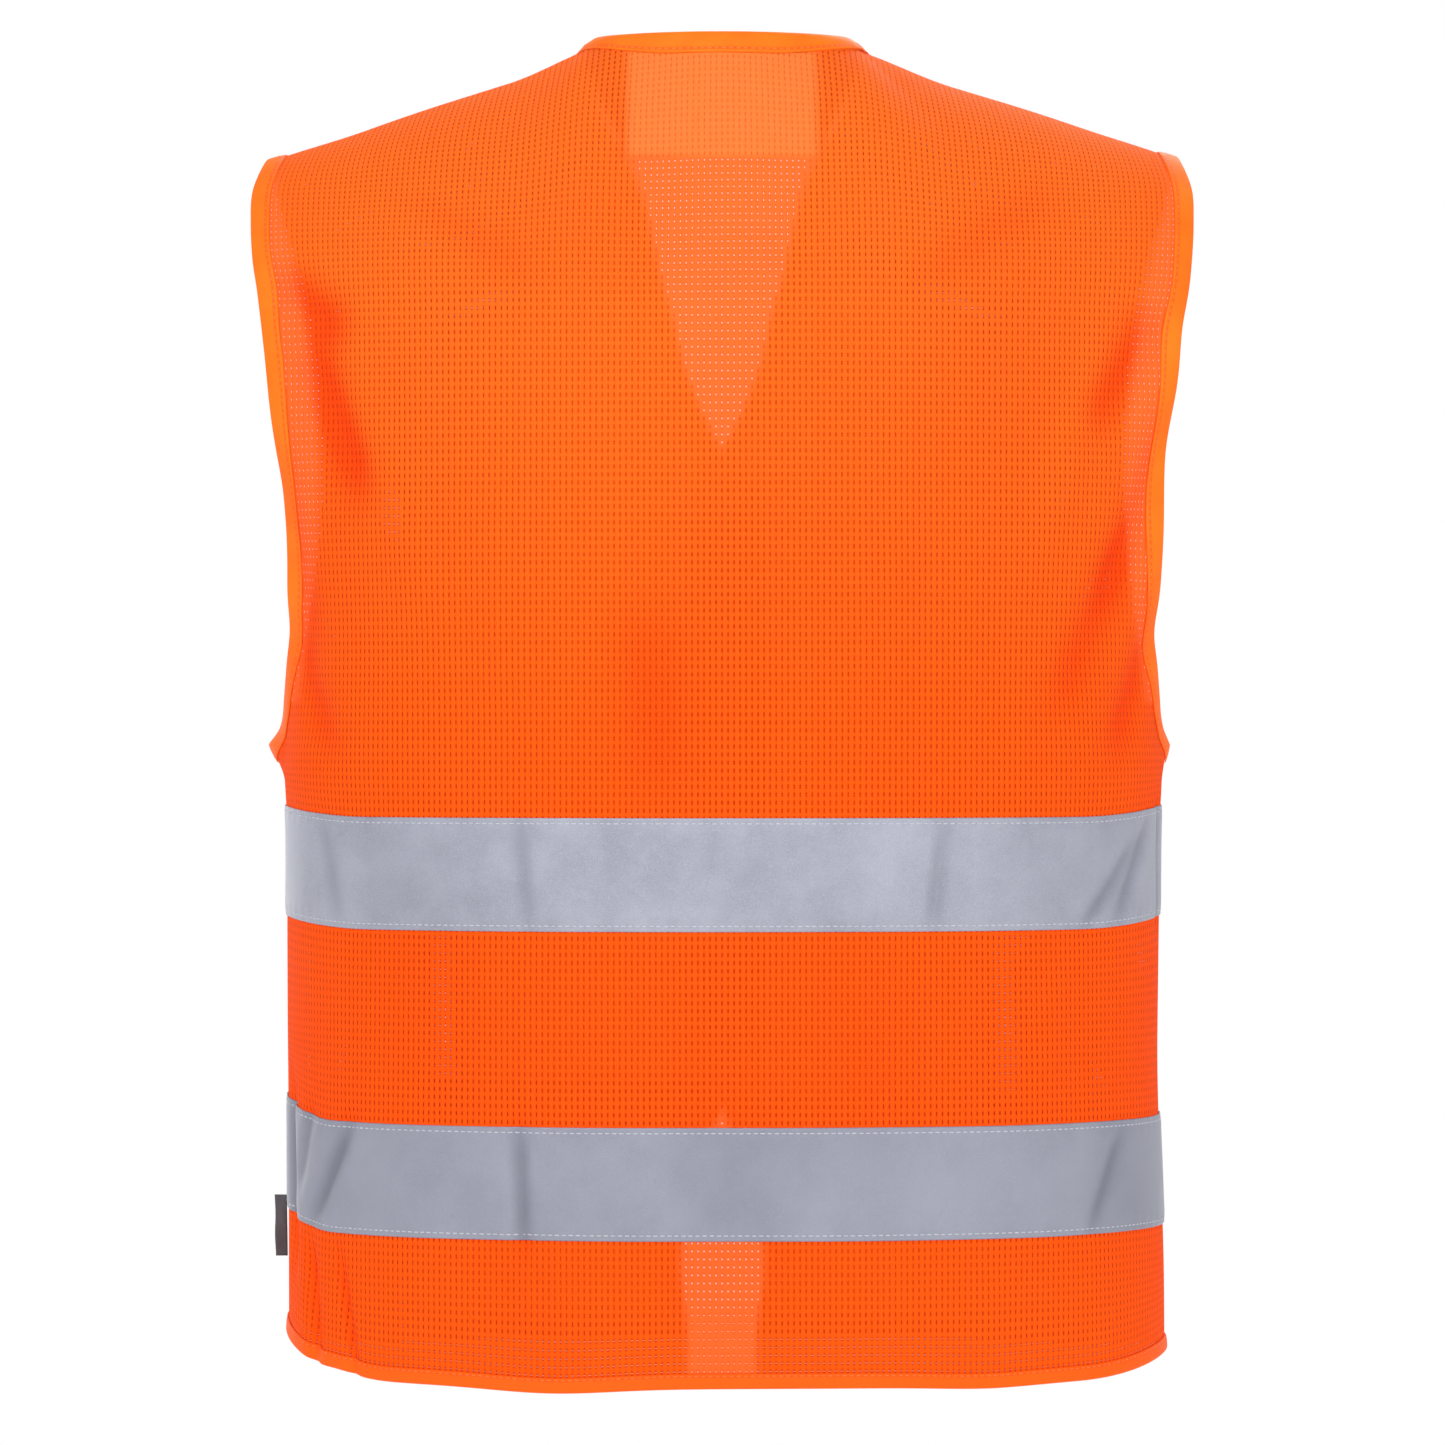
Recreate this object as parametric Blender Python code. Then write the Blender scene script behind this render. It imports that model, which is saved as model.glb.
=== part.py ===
"""High visibility vest, held as if worn: cut, bound and taped the way a sewn mesh vest is.

Metres. +Z is up, the chest faces -Y and +X is the wearer's left. The origin is midway
between the two neck points, at their height. Each cloth piece is a thin closed shell, each
binding is a strip folded round the cloth's raw edge, and each tape lies on the cloth.
"""

import math

import bpy
import numpy as np

# ---- driving sizes --------------------------------------------------------------------
NECK_HALF = 0.0635        # neck point, half width of the neck opening
NECK_DEPTH = 0.045        # how far the back neckline lies behind the neck points
NECK_TOP = 0.0015         # height of the back neckline
RIDGE_SLOPE = 0.324       # fall of the shoulder, per metre outward
TIP_X = 0.2105            # shoulder tip
TURN_Z = -0.12            # the shoulder's curve ends at this height
SIDE_X = 0.2010           # side seam
SEAM_GAP = 0.0011         # each panel stops this far from the side seam's plane
UNDERARM_Z = -0.318
HEM_Z = -0.5985
SQUARENESS = 2.4          # exponent of the body's cross-section
CLOTH = 0.0012            # thickness of the mesh cloth
TAPE = 0.0008
PATCH = 0.0006
GAP = 0.0003
BIND_GAP = 0.0005
EDGE_COLUMN = 0.0095      # the cloth's outermost column of faces is this wide
BIND_WIDTH = 0.0080       # how far a binding reaches onto the cloth
BIND_CLOTH = 0.0007
LAYER = 0.0022            # each front stands this far off the shared surface where they lap
LAP = 0.018               # half of the fronts' overlap
OPEN_BACK_TAPE = 0.004    # a tape ends this far from the side seam
PIVOT_LEFT = (SIDE_X, 0.0, 0.0)
PIVOT_RIGHT = (-SIDE_X, 0.0, 0.0)
LABEL_ROOT = (SIDE_X + 0.0009, 0.0006, -0.5375)
LABEL_SIZE = (0.0050, 0.0005, 0.028)

UPPER_TAPE = (-0.399, -0.349)
LOWER_TAPE = (-0.535, -0.485)
LOWER_TAPE_LEFT = (-0.526, -0.476)

# Height against a size, from the hem up.
DEPTH_BACK = [(-0.60, 0.115), (-0.35, 0.118), (-0.20, 0.113), (-0.12, 0.108), (0.01, 0.097)]
DEPTH_FRONT = [(-0.60, 0.112), (-0.35, 0.109), (-0.20, 0.112), (-0.12, 0.106), (0.01, 0.095)]
WIDTH_SLOPE = 0.1         # growth of the section's half width above the shoulder's curve
ARM_BACK_X = [(-0.318, 0.2010), (-0.297, 0.1996), (-0.269, 0.1992), (-0.242, 0.2005),
              (-0.214, 0.2025), (-0.187, 0.2050), (-0.159, 0.2075), (-0.132, 0.2102),
              (-0.104, 0.2142), (-0.080, 0.2158), (-0.063, 0.2155), (-0.046, 0.2105)]
ARM_BACK_Y = [(-0.318, 0.0011), (-0.309, 0.0165), (-0.297, 0.0270), (-0.269, 0.0410),
              (-0.242, 0.0510), (-0.214, 0.0575), (-0.187, 0.0605), (-0.159, 0.0625),
              (-0.120, 0.0625)]
ARM_FRONT_X = [(-0.318, 0.2010), (-0.297, 0.1990), (-0.269, 0.1962), (-0.242, 0.1935),
               (-0.214, 0.1915), (-0.187, 0.1908), (-0.159, 0.1920), (-0.132, 0.1945),
               (-0.104, 0.1990), (-0.080, 0.2040), (-0.063, 0.2080), (-0.046, 0.2105)]
ARM_FRONT_Y = [(-0.318, 0.0011), (-0.309, 0.0145), (-0.297, 0.0240), (-0.269, 0.0365),
               (-0.242, 0.0455), (-0.214, 0.0525), (-0.187, 0.0570), (-0.159, 0.0600),
               (-0.120, 0.0620)]
V_NECK = [(-0.210, -0.0180), (-0.195, -0.0140), (-0.177, 0.0), (-0.151, 0.0133),
          (-0.134, 0.0194), (-0.118, 0.0227), (-0.094, 0.0296), (-0.080, 0.0325),
          (-0.050, 0.0400), (-0.033, 0.0470), (-0.015, 0.0565), (0.0, 0.0635)]
FRONT_EDGE = [(-0.600, 0.0165), (-0.560, 0.0200), (-0.510, 0.0080), (-0.485, -0.0030),
              (-0.455, -0.0155), (-0.430, -0.0180), (-0.210, -0.0180)]

BACK_ROWS = [HEM_Z, -0.560, -0.535, -0.485, -0.442, -0.399, -0.349, UNDERARM_Z, -0.314,
             -0.306, -0.286, -0.255, -0.220, -0.185, -0.150, TURN_Z]
FRONT_ROWS = [HEM_Z, -0.560, -0.535, -0.485, -0.455, -0.415, -0.399, -0.349, UNDERARM_Z,
              -0.314, -0.306, -0.286, -0.255, -0.210, -0.177, -0.150, TURN_Z]
NECK_ANGLES = [0.0, 22.0, 43.0, 65.0, 90.0]
OUTER_COLUMNS = 5
TURN_STEPS = [0.0, 18.0, 36.0, 54.0, 72.0]
FRONT_FRACTIONS = [0.0, 0.20, 0.40, 0.60, 0.78, 1.0]
PATCH_ROWS = ((-0.455, -0.415), (-0.255, -0.210))


# ---- the shared body surface ----------------------------------------------------------
def along(table, z):
    """The size at height z, by a smooth curve through the table's points."""
    xs = np.array([row[0] for row in table])
    ys = np.array([row[1] for row in table])
    slopes = np.gradient(ys, xs)
    z = float(np.clip(z, xs[0], xs[-1]))
    k = int(np.clip(np.searchsorted(xs, z) - 1, 0, len(xs) - 2))
    h = xs[k + 1] - xs[k]
    t = (z - xs[k]) / h
    low = (1 + 2 * t) * (1 - t) ** 2 * ys[k] + t * (1 - t) ** 2 * h * slopes[k]
    high = t * t * (3 - 2 * t) * ys[k + 1] + t * t * (t - 1) * h * slopes[k + 1]
    return low + high


def straight(table, z):
    return float(np.interp(z, [row[0] for row in table], [row[1] for row in table]))


def half_width(z, arm_x, arm_y, depth):
    """Half width of the full cross-section whose curve passes through the armhole's edge."""
    if z <= UNDERARM_Z:
        return SIDE_X
    above = max(z - TURN_Z, 0.0)
    z = min(z, TURN_Z)
    share = (straight(arm_y, z) / straight(depth, z)) ** SQUARENESS
    return along(arm_x, z) / (1 - share) ** (1 / SQUARENESS) + WIDTH_SLOPE * above


def section_y(x, a, b):
    inside = max(1 - (abs(x) / a) ** SQUARENESS, 0.0)
    return b * inside ** (1 / SQUARENESS)


def ridge_z(x):
    return NECK_TOP - RIDGE_SLOPE * max(abs(x) - NECK_HALF, 0.0)


def neckline_y(x, drop):
    """The back neckline's oval at the top, softening into a wide low swell as the cloth drops."""
    t = min(drop / 0.35, 1.0)
    half = NECK_HALF + 0.05 * t
    return NECK_DEPTH * max(1 - (x / half) ** 2, 0.0) ** (0.5 + 1.2 * t)


def roundness(x):
    """How squarely the cloth turns over at the top: soft at the nape, round on the shoulder."""
    t = min(max((abs(x) - 0.02) / 0.09, 0.0), 1.0)
    return 1.2 + 0.45 * t * t * (3 - 2 * t)


def side_row(z, arm_x, arm_y, depth, start_x, fractions):
    """Points along the cross-section at height z, from x = start_x to the outer edge.

    fractions run from 0 at start_x to 1 at the edge, along the curve's length.
    """
    a = half_width(z, arm_x, arm_y, depth)
    b = straight(depth, z)
    edge_y = SEAM_GAP if z <= UNDERARM_Z else straight(arm_y, z)
    last = math.acos((edge_y / b) ** (SQUARENESS / 2))
    first = math.copysign(math.asin((abs(start_x) / a) ** (SQUARENESS / 2)), start_x)
    angle = np.linspace(first, last, 400)
    x = a * np.sign(np.sin(angle)) * np.abs(np.sin(angle)) ** (2 / SQUARENESS)
    y = b * np.cos(angle) ** (2 / SQUARENESS)
    length = np.concatenate([[0], np.cumsum(np.hypot(np.diff(x), np.diff(y)))])
    want = np.array(fractions) * length[-1]
    return np.interp(want, length, x), np.interp(want, length, y)


def row_length(z, arm_x, arm_y, depth, start_x):
    """Length of the cross-section's curve from x = start_x to the outer edge."""
    x, y = side_row(z, arm_x, arm_y, depth, start_x, np.linspace(0, 1, 60))
    return float(np.hypot(np.diff(x), np.diff(y)).sum())


def turned(x, turn, depth, arm_x, arm_y, tip=True):
    """(y, z) on the shoulder's curve, turn degrees past its top, as distances from the ridge."""
    power = roundness(x)
    angle = math.radians(turn)
    drop = 1 - math.cos(angle) ** (2 / power)
    reach = math.sin(angle) ** (2 / power)
    z = ridge_z(x) - drop * (ridge_z(x) - TURN_Z)
    full = section_y(x, half_width(z, arm_x, arm_y, depth), straight(depth, z))
    top = neckline_y(x, drop) if tip else 0.0
    return top + (full - top) * reach, z


def edge_at(turn, table, arm_x, arm_y, depth, tip=True):
    """Where an edge given as x against height crosses the shoulder's curve at this turn."""
    x = along(table, TURN_Z)
    for _ in range(60):
        z = turned(x, turn, depth, arm_x, arm_y, tip)[1]
        x = 0.5 * x + 0.5 * along(table, z)
    return x


# ---- panel grids ----------------------------------------------------------------------
def back_grid():
    """Right-to-left columns by hem-to-shoulder rows; the last two rows pass over the ridge."""
    neck = [NECK_HALF * math.sin(math.radians(d)) for d in NECK_ANGLES]
    reach = TIP_X - EDGE_COLUMN - NECK_HALF
    outer = [NECK_HALF + reach * (k + 1) / OUTER_COLUMNS for k in range(OUTER_COLUMNS)]
    top_x = np.array(neck + outer + [TIP_X])
    share = top_x / TIP_X
    rows = []
    for z in BACK_ROWS:
        length = row_length(z, ARM_BACK_X, ARM_BACK_Y, DEPTH_BACK, 0.0)
        scale = (1 - EDGE_COLUMN / length) / share[-2]
        x, y = side_row(z, ARM_BACK_X, ARM_BACK_Y, DEPTH_BACK, 0.0,
                        list(share[:-1] * scale) + [1.0])
        rows.append([(px, py, z) for px, py in zip(x, y)])
    first = np.array([p[0] for p in rows[-1]]) / rows[-1][-1][0]
    for turn in reversed(TURN_STEPS):
        edge = edge_at(turn, ARM_BACK_X, ARM_BACK_X, ARM_BACK_Y, DEPTH_BACK)
        w = 1 - (1 - math.cos(math.radians(turn)) ** 1.2)
        line = []
        for k in range(len(top_x)):
            x = (first[k] + (share[k] - first[k]) * w) * edge
            if turn == 0.0:
                x = top_x[k]
            y, z = turned(x, turn, DEPTH_BACK, ARM_BACK_X, ARM_BACK_Y)
            line.append((x, y, z))
        rows.append(line)
    for part in (0.5, 1.0):
        rows.append(seam_row(top_x, part))
    half = np.array([[p if p is not None else (np.nan,) * 3 for p in row] for row in rows])
    mirrored = half[:, :0:-1].copy()
    mirrored[:, :, 0] *= -1
    return np.concatenate([mirrored, half], axis=1)


def seam_turn(x):
    """Degrees past the ridge at which the shoulder seam lies."""
    t = min(max((abs(x) - NECK_HALF) / (TIP_X - NECK_HALF), 0.0), 1.0)
    return 14.0 + 31.0 * t


def seam_row(top_x, part):
    """Points part of the way from the ridge to the shoulder seam, on the chest side."""
    n_neck = len(NECK_ANGLES) - 1
    edge_in = edge_at(seam_turn(NECK_HALF) * part, V_NECK, ARM_FRONT_X, ARM_FRONT_Y,
                      DEPTH_FRONT, False)
    edge_out = edge_at(seam_turn(TIP_X) * part, ARM_FRONT_X, ARM_FRONT_X, ARM_FRONT_Y,
                       DEPTH_FRONT, False)
    line = []
    for k, top in enumerate(top_x):
        if k < n_neck:
            line.append(None)
            continue
        share = (top - NECK_HALF) / (TIP_X - NECK_HALF)
        x = edge_in + (edge_out - edge_in) * share
        y, z = turned(x, seam_turn(top) * part, DEPTH_FRONT, ARM_FRONT_X, ARM_FRONT_Y, False)
        line.append((x, -y, z))
    return line


def front_columns(length):
    """Column positions as shares of a row's length, with a narrow column at either edge."""
    first = [0.0, 0.010 / length, 0.030 / length]
    rest = 1 - EDGE_COLUMN / length - first[-1]
    return first + [first[-1] + rest * f for f in FRONT_FRACTIONS[1:]] + [1.0]


def front_grid(side, rows_z):
    """Closing edge to armhole by hem to shoulder seam, for the left (1) or right (-1) front."""
    rows = []
    for z in rows_z:
        inner = along(FRONT_EDGE, z) if z <= -0.21 else along(V_NECK, z)
        length = row_length(z, ARM_FRONT_X, ARM_FRONT_Y, DEPTH_FRONT, inner)
        x, y = side_row(z, ARM_FRONT_X, ARM_FRONT_Y, DEPTH_FRONT, inner,
                        front_columns(length))
        rows.append([(px, -py, z) for px, py in zip(x, y)])
    top = rows[-1]
    first = [(p[0] - top[0][0]) / (top[-1][0] - top[0][0]) for p in top]
    last = first[:]
    steps = (0.25, 0.5, 0.75, 1.0)
    for part in steps:
        turns = [90 - (90 - seam_turn(NECK_HALF)) * part, 90 - (90 - seam_turn(TIP_X)) * part]
        low = edge_at(turns[0], V_NECK, ARM_FRONT_X, ARM_FRONT_Y, DEPTH_FRONT, False)
        high = edge_at(turns[1], ARM_FRONT_X, ARM_FRONT_X, ARM_FRONT_Y, DEPTH_FRONT, False)
        line = []
        for share in last:
            x = low + (high - low) * share
            turn = turns[0] + (turns[1] - turns[0]) * share
            if part == 1.0:
                turn += 0.35 + 0.45 * (1 - share)
            y, z = turned(x, turn, DEPTH_FRONT, ARM_FRONT_X, ARM_FRONT_Y, False)
            line.append((x, -y, z))
        rows.append(line)
    grid = np.array(rows)
    grid = grid + normals_of(grid, 1)[0] * lap_offset(grid, side)[..., None]
    if side < 0:
        grid[:, :, 0] *= -1
    return grid


def lap_offset(grid, side):
    """The left front lies outside the right one near the middle of the chest."""
    x = np.clip((0.095 - grid[..., 0]) / (0.095 - 0.026), 0, 1)
    z = np.clip((-0.10 - grid[..., 2]) / 0.07, 0, 1)
    return side * LAYER * x * x * (3 - 2 * x) * z * z * (3 - 2 * z)


def normals_of(grid, sign):
    """Unit normals at the grid's points, and the two tangents. sign picks the outer side."""
    def difference(axis):
        ahead = np.roll(grid, -1, axis=axis) - grid
        behind = grid - np.roll(grid, 1, axis=axis)
        edge = [slice(None)] * 3
        edge[axis] = -1
        ahead[tuple(edge)] = np.nan
        edge[axis] = 0
        behind[tuple(edge)] = np.nan
        ahead = ahead / np.linalg.norm(ahead, axis=2, keepdims=True)
        behind = behind / np.linalg.norm(behind, axis=2, keepdims=True)
        both = np.stack([ahead, behind])
        missing = np.isnan(both).all(axis=0)
        both = np.where(missing, 0.0, both)
        return np.nanmean(both, axis=0)

    along_row, up = difference(1), difference(0)
    normal = np.cross(along_row, up)
    size = np.linalg.norm(normal, axis=2, keepdims=True)
    normal = sign * normal / np.where(size > 0, size, 1.0)
    return normal, along_row, up


# ---- making objects -------------------------------------------------------------------
def material(name, colour, rough, metallic=0.0):
    made = bpy.data.materials.new(name)
    made.use_nodes = True
    shader = made.node_tree.nodes["Principled BSDF"]
    shader.inputs["Base Color"].default_value = (*colour, 1.0)
    shader.inputs["Roughness"].default_value = rough
    shader.inputs["Metallic"].default_value = metallic
    return made


def add_object(name, points, faces, colour, rough, pivot=(0, 0, 0)):
    """A mesh object whose origin is at pivot."""
    mesh = bpy.data.meshes.new(name)
    mesh.from_pydata((np.array(points) - np.array(pivot)).tolist(), [], faces)
    mesh.validate()
    mesh.update()
    obj = bpy.data.objects.new(name, mesh)
    obj.location = pivot
    bpy.context.scene.collection.objects.link(obj)
    mesh.materials.append(material(name + "_mat", colour, rough))
    return obj


def shell(name, grid, flip, thick, colour, rough, pivot=(0, 0, 0), split=0):
    """A closed sheet of even thickness, centred on the grid. Points that are nan are left out.

    Each square of the grid is cut in two, and columns before split are cut the other way, so
    that a symmetric grid gives a symmetric sheet.
    """
    rows, cols = grid.shape[:2]
    used = ~np.isnan(grid[..., 0])
    index = -np.ones((rows, cols), int)
    index[used] = np.arange(used.sum())
    faces = []
    for r in range(rows - 1):
        for c in range(cols - 1):
            quad = [index[r, c], index[r, c + 1], index[r + 1, c + 1], index[r + 1, c]]
            if min(quad) < 0:
                continue
            pairs = ((0, 1, 2), (0, 2, 3)) if c >= split else ((0, 1, 3), (1, 2, 3))
            for three in pairs:
                corner = [int(quad[q]) for q in three]
                faces.append(corner[::-1] if flip else corner)
    obj = add_object(name, grid[used], faces, colour, rough, pivot)
    solid = obj.modifiers.new("thickness", "SOLIDIFY")
    solid.thickness = thick
    solid.offset = 0.0
    solid.use_even_offset = True
    return obj


def binding(name, edge, inner, normal, colour, pivot=(0, 0, 0), cut="rising", room=BIND_GAP,
            shares=None):
    """A strip folded round a raw edge: a U in section, with one leg on each side of the cloth.

    cut says which way the cloth's squares are halved along this edge, so that the strip's
    faces run parallel to the cloth's: one word, or one for each length between two points.
    shares narrows the strip's legs point by point.
    """
    edge, inner, normal = (np.array(a, float) for a in (edge, inner, normal))
    tangent = np.gradient(edge, axis=0)
    tangent /= np.linalg.norm(tangent, axis=1, keepdims=True)
    reach = inner - edge
    reach /= np.linalg.norm(reach, axis=1, keepdims=True)
    lean = np.linalg.norm(np.cross(reach, tangent), axis=1, keepdims=True)
    reach = reach / np.maximum(lean, 0.85)
    near = CLOTH / 2 + room
    far = near + BIND_CLOTH
    slack = max(GAP, room - 0.0006)
    lip = slack + BIND_CLOTH
    section = [(BIND_WIDTH, far), (-lip, far), (-lip, -far), (BIND_WIDTH, -far),
               (BIND_WIDTH, -near), (-slack, -near), (-slack, near), (BIND_WIDTH, near)]
    shares = [1.0] * len(edge) if shares is None else shares
    points = [e + r * (m * w if m > 0 else m) + n * h
              for e, r, n, w in zip(edge, reach, normal, shares) for m, h in section]
    count, size = len(edge), len(section)
    faces = []
    cuts = [cut] * (count - 1) if isinstance(cut, str) else cut
    for k in range(count - 1):
        for s in range(size):
            t = (s + 1) % size
            quad = [k * size + s, k * size + t, (k + 1) * size + t, (k + 1) * size + s]
            # Section points 1, 2, 5 and 6 lie at the edge and the others on the cloth.
            leads = (section[s][0] > 0) == (cuts[k] == "rising")
            pairs = ((0, 1, 2), (0, 2, 3)) if leads else ((0, 1, 3), (1, 2, 3))
            faces += [[quad[q] for q in three] for three in pairs]
    for quad in ((0, 1, 6, 7), (1, 2, 5, 6), (2, 3, 4, 5)):
        faces.append(list(quad)[::-1])
        faces.append([(count - 1) * size + q for q in quad])
    sample = np.cross(reach[0], normal[0]) @ (edge[1] - edge[0])
    if sample < 0:
        faces = [face[::-1] for face in faces]
    return add_object(name, points, faces, colour, 0.7, pivot)


def drawn_in(edge, inner, start, end):
    """An edge and the line inside it, both shortened at their ends: by lengths along the edge."""
    edge, inner = np.array(edge, float), np.array(inner, float)
    for tip, nearest, length in ((0, 1, start), (-1, -2, end)):
        share = length / np.linalg.norm(edge[nearest] - edge[tip])
        for line in (edge, inner):
            line[tip] = line[tip] + (line[nearest] - line[tip]) * share
    return edge, inner


ORANGE = (0.95, 0.13, 0.01)
ORANGE_TRIM = (0.98, 0.17, 0.01)
SILVER = (0.42, 0.43, 0.48)
LINING = (0.97, 0.20, 0.03)
DARK = (0.05, 0.045, 0.055)
HOOK = (0.85, 0.16, 0.03)


# ---- the back -------------------------------------------------------------------------
def lifted(grid, normal, rows, cols, height):
    """The part of a grid between the given rows and columns, moved off along the normal."""
    part = grid[rows[0]:rows[1] + 1, cols[0]:cols[1] + 1]
    away = normal[rows[0]:rows[1] + 1, cols[0]:cols[1] + 1]
    return part + away * height


def shortened(part, low, high):
    """A grid with its first and last columns drawn in by the given lengths."""
    part = part.copy()
    for r in range(len(part)):
        if low:
            way = part[r, 1] - part[r, 0]
            part[r, 0] += way / np.linalg.norm(way) * low
        if high:
            way = part[r, -2] - part[r, -1]
            part[r, -1] += way / np.linalg.norm(way) * high
    return part


def build_back():
    grid = back_grid()
    normal, _, _ = normals_of(grid, -1)
    cols = grid.shape[1]
    mid = cols // 2
    neck = len(NECK_ANGLES) - 1
    top = len(BACK_ROWS) + len(TURN_STEPS) - 1
    last = grid.shape[0] - 1
    shell("back_panel", grid, True, CLOTH, ORANGE, 0.75, split=mid)
    lift = CLOTH / 2 + GAP + TAPE / 2
    for name, band in (("back_upper_tape", UPPER_TAPE), ("back_lower_tape", LOWER_TAPE)):
        rows = [BACK_ROWS.index(z) for z in band]
        part = lifted(grid, normal, rows, (0, cols - 1), lift)
        part = shortened(part, OPEN_BACK_TAPE, OPEN_BACK_TAPE)
        shell(name, part, True, TAPE, SILVER, 0.35, split=mid)
    patch = lifted(grid, normal, (top - 2, top - 1), (mid - 2, mid + 2),
                   -(CLOTH / 2 + GAP + PATCH / 2))
    patch[1] += (patch[0] - patch[1]) * 0.05
    shell("neck_patch", patch, True, PATCH, LINING, 0.8, split=2)
    neck_edge = ([(r, mid - neck) for r in range(last, top, -1)]
                 + [(top, c) for c in range(mid - neck, mid + neck + 1)]
                 + [(r, mid + neck) for r in range(top + 1, last + 1)])
    inner = []
    for r, c in neck_edge:
        if r > top:
            inner.append(grid[r, c + (1 if c > mid else -1)])
        elif abs(c - mid) >= neck - 1:
            inner.append(grid[top - 1, c + (1 if c > mid else -1)])
        else:
            inner.append(grid[top - 1, c])
    edge, inner = drawn_in([grid[r, c] for r, c in neck_edge], inner, GAP, GAP)
    wrap = last - top
    cuts = ["rising"] * wrap + ["falling"] * neck + ["rising"] * neck + ["falling"] * wrap
    binding("neck_binding", edge, inner, [normal[r, c] for r, c in neck_edge], ORANGE_TRIM,
            cut=cuts, room=0.0017,
            shares=[0.48 if abs(c - mid) >= neck - 1 else 1.0 for r, c in neck_edge])
    under = BACK_ROWS.index(UNDERARM_Z)
    for name, c, step in (("armhole_binding_back_left", cols - 1, -1),
                          ("armhole_binding_back_right", 0, 1)):
        rows = range(under, last + 1)
        edge, inner = drawn_in([grid[r, c] for r in rows], [grid[r, c + step] for r in rows],
                               0.0, GAP)
        binding(name, edge, inner, [normal[r, c] for r in rows], ORANGE_TRIM)
    binding("hem_binding_back", grid[0], grid[1], normal[0], ORANGE_TRIM)


# ---- the fronts -----------------------------------------------------------------------
def build_front(side):
    word = "left" if side > 0 else "right"
    pivot = PIVOT_LEFT if side > 0 else PIVOT_RIGHT
    lower = LOWER_TAPE_LEFT if side > 0 else LOWER_TAPE
    rows_z = [z for z in FRONT_ROWS if z not in LOWER_TAPE] + list(lower)
    rows_z = sorted(rows_z)
    grid = front_grid(side, rows_z)
    normal, _, _ = normals_of(grid, side)
    last, cols = grid.shape[0] - 1, grid.shape[1]
    flip = side < 0
    shell("front_%s_panel" % word, grid, flip, CLOTH, ORANGE, 0.75, pivot)
    lift = CLOTH / 2 + GAP + TAPE / 2
    for part_name, band in (("upper", UPPER_TAPE), ("lower", lower)):
        rows = [rows_z.index(z) for z in band]
        part = lifted(grid, normal, rows, (0, cols - 1), lift)
        part = shortened(part, BIND_WIDTH + 0.0013, OPEN_BACK_TAPE)
        shell("front_%s_%s_tape" % (word, part_name), part, flip, TAPE, SILVER, 0.35, pivot)
    away = -side * (CLOTH / 2 + GAP + PATCH / 2)
    kind = "loop" if side > 0 else "hook"
    for part_name, band in zip(("lower", "upper"), PATCH_ROWS):
        rows = [rows_z.index(z) for z in band]
        part = lifted(grid, normal, rows, (1, 2), away)
        shell("%s_patch_%s" % (kind, part_name), part, flip, PATCH, HOOK, 0.9, pivot)
    edge, inner = drawn_in(grid[:, 0], grid[:, 1], 0.0, GAP)
    binding("front_%s_edge_binding" % word, edge, inner,
            [normal[r, 0] for r in range(last + 1)], ORANGE_TRIM, pivot, "falling")
    rows = range(rows_z.index(UNDERARM_Z) + 1, last + 1)
    edge, inner = drawn_in([grid[r, -1] for r in rows], [grid[r, -2] for r in rows],
                           0.0, GAP)
    binding("armhole_binding_front_%s" % word, edge, inner, [normal[r, -1] for r in rows],
            ORANGE_TRIM, pivot)
    hem, above = drawn_in(grid[0], grid[1], BIND_WIDTH + 0.0013, 0.004)
    binding("hem_binding_front_%s" % word, hem, above, normal[0], ORANGE_TRIM, pivot,
            "falling")


def build_label():
    """The small tab sewn into the wearer's left side seam, hinged at its stitched edge."""
    x, y, z = (size / 2 for size in LABEL_SIZE)
    corners = [(LABEL_ROOT[0] + (sx + 1) * x, LABEL_ROOT[1] + sy * y, LABEL_ROOT[2] + sz * z)
               for sx in (-1, 1) for sy in (-1, 1) for sz in (-1, 1)]
    faces = [[0, 1, 3, 2], [4, 6, 7, 5], [0, 4, 5, 1], [2, 3, 7, 6], [0, 2, 6, 4], [1, 5, 7, 3]]
    add_object("side_label", corners, faces, DARK, 0.6, LABEL_ROOT)


def main():
    for obj in list(bpy.data.objects):
        bpy.data.objects.remove(obj)
    build_back()
    build_front(1)
    build_front(-1)
    build_label()


main()
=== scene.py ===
"""High visibility vest: the cloth, tapes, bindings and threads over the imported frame.

Metres, +Z up, the chest faces -Y and +X is the wearer's left. Cloth is laid out by its own
two lengths: s runs round the body from the middle line and t runs up from the hem. Below
the shoulder's curve t is simply the height.
"""

import math

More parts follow.
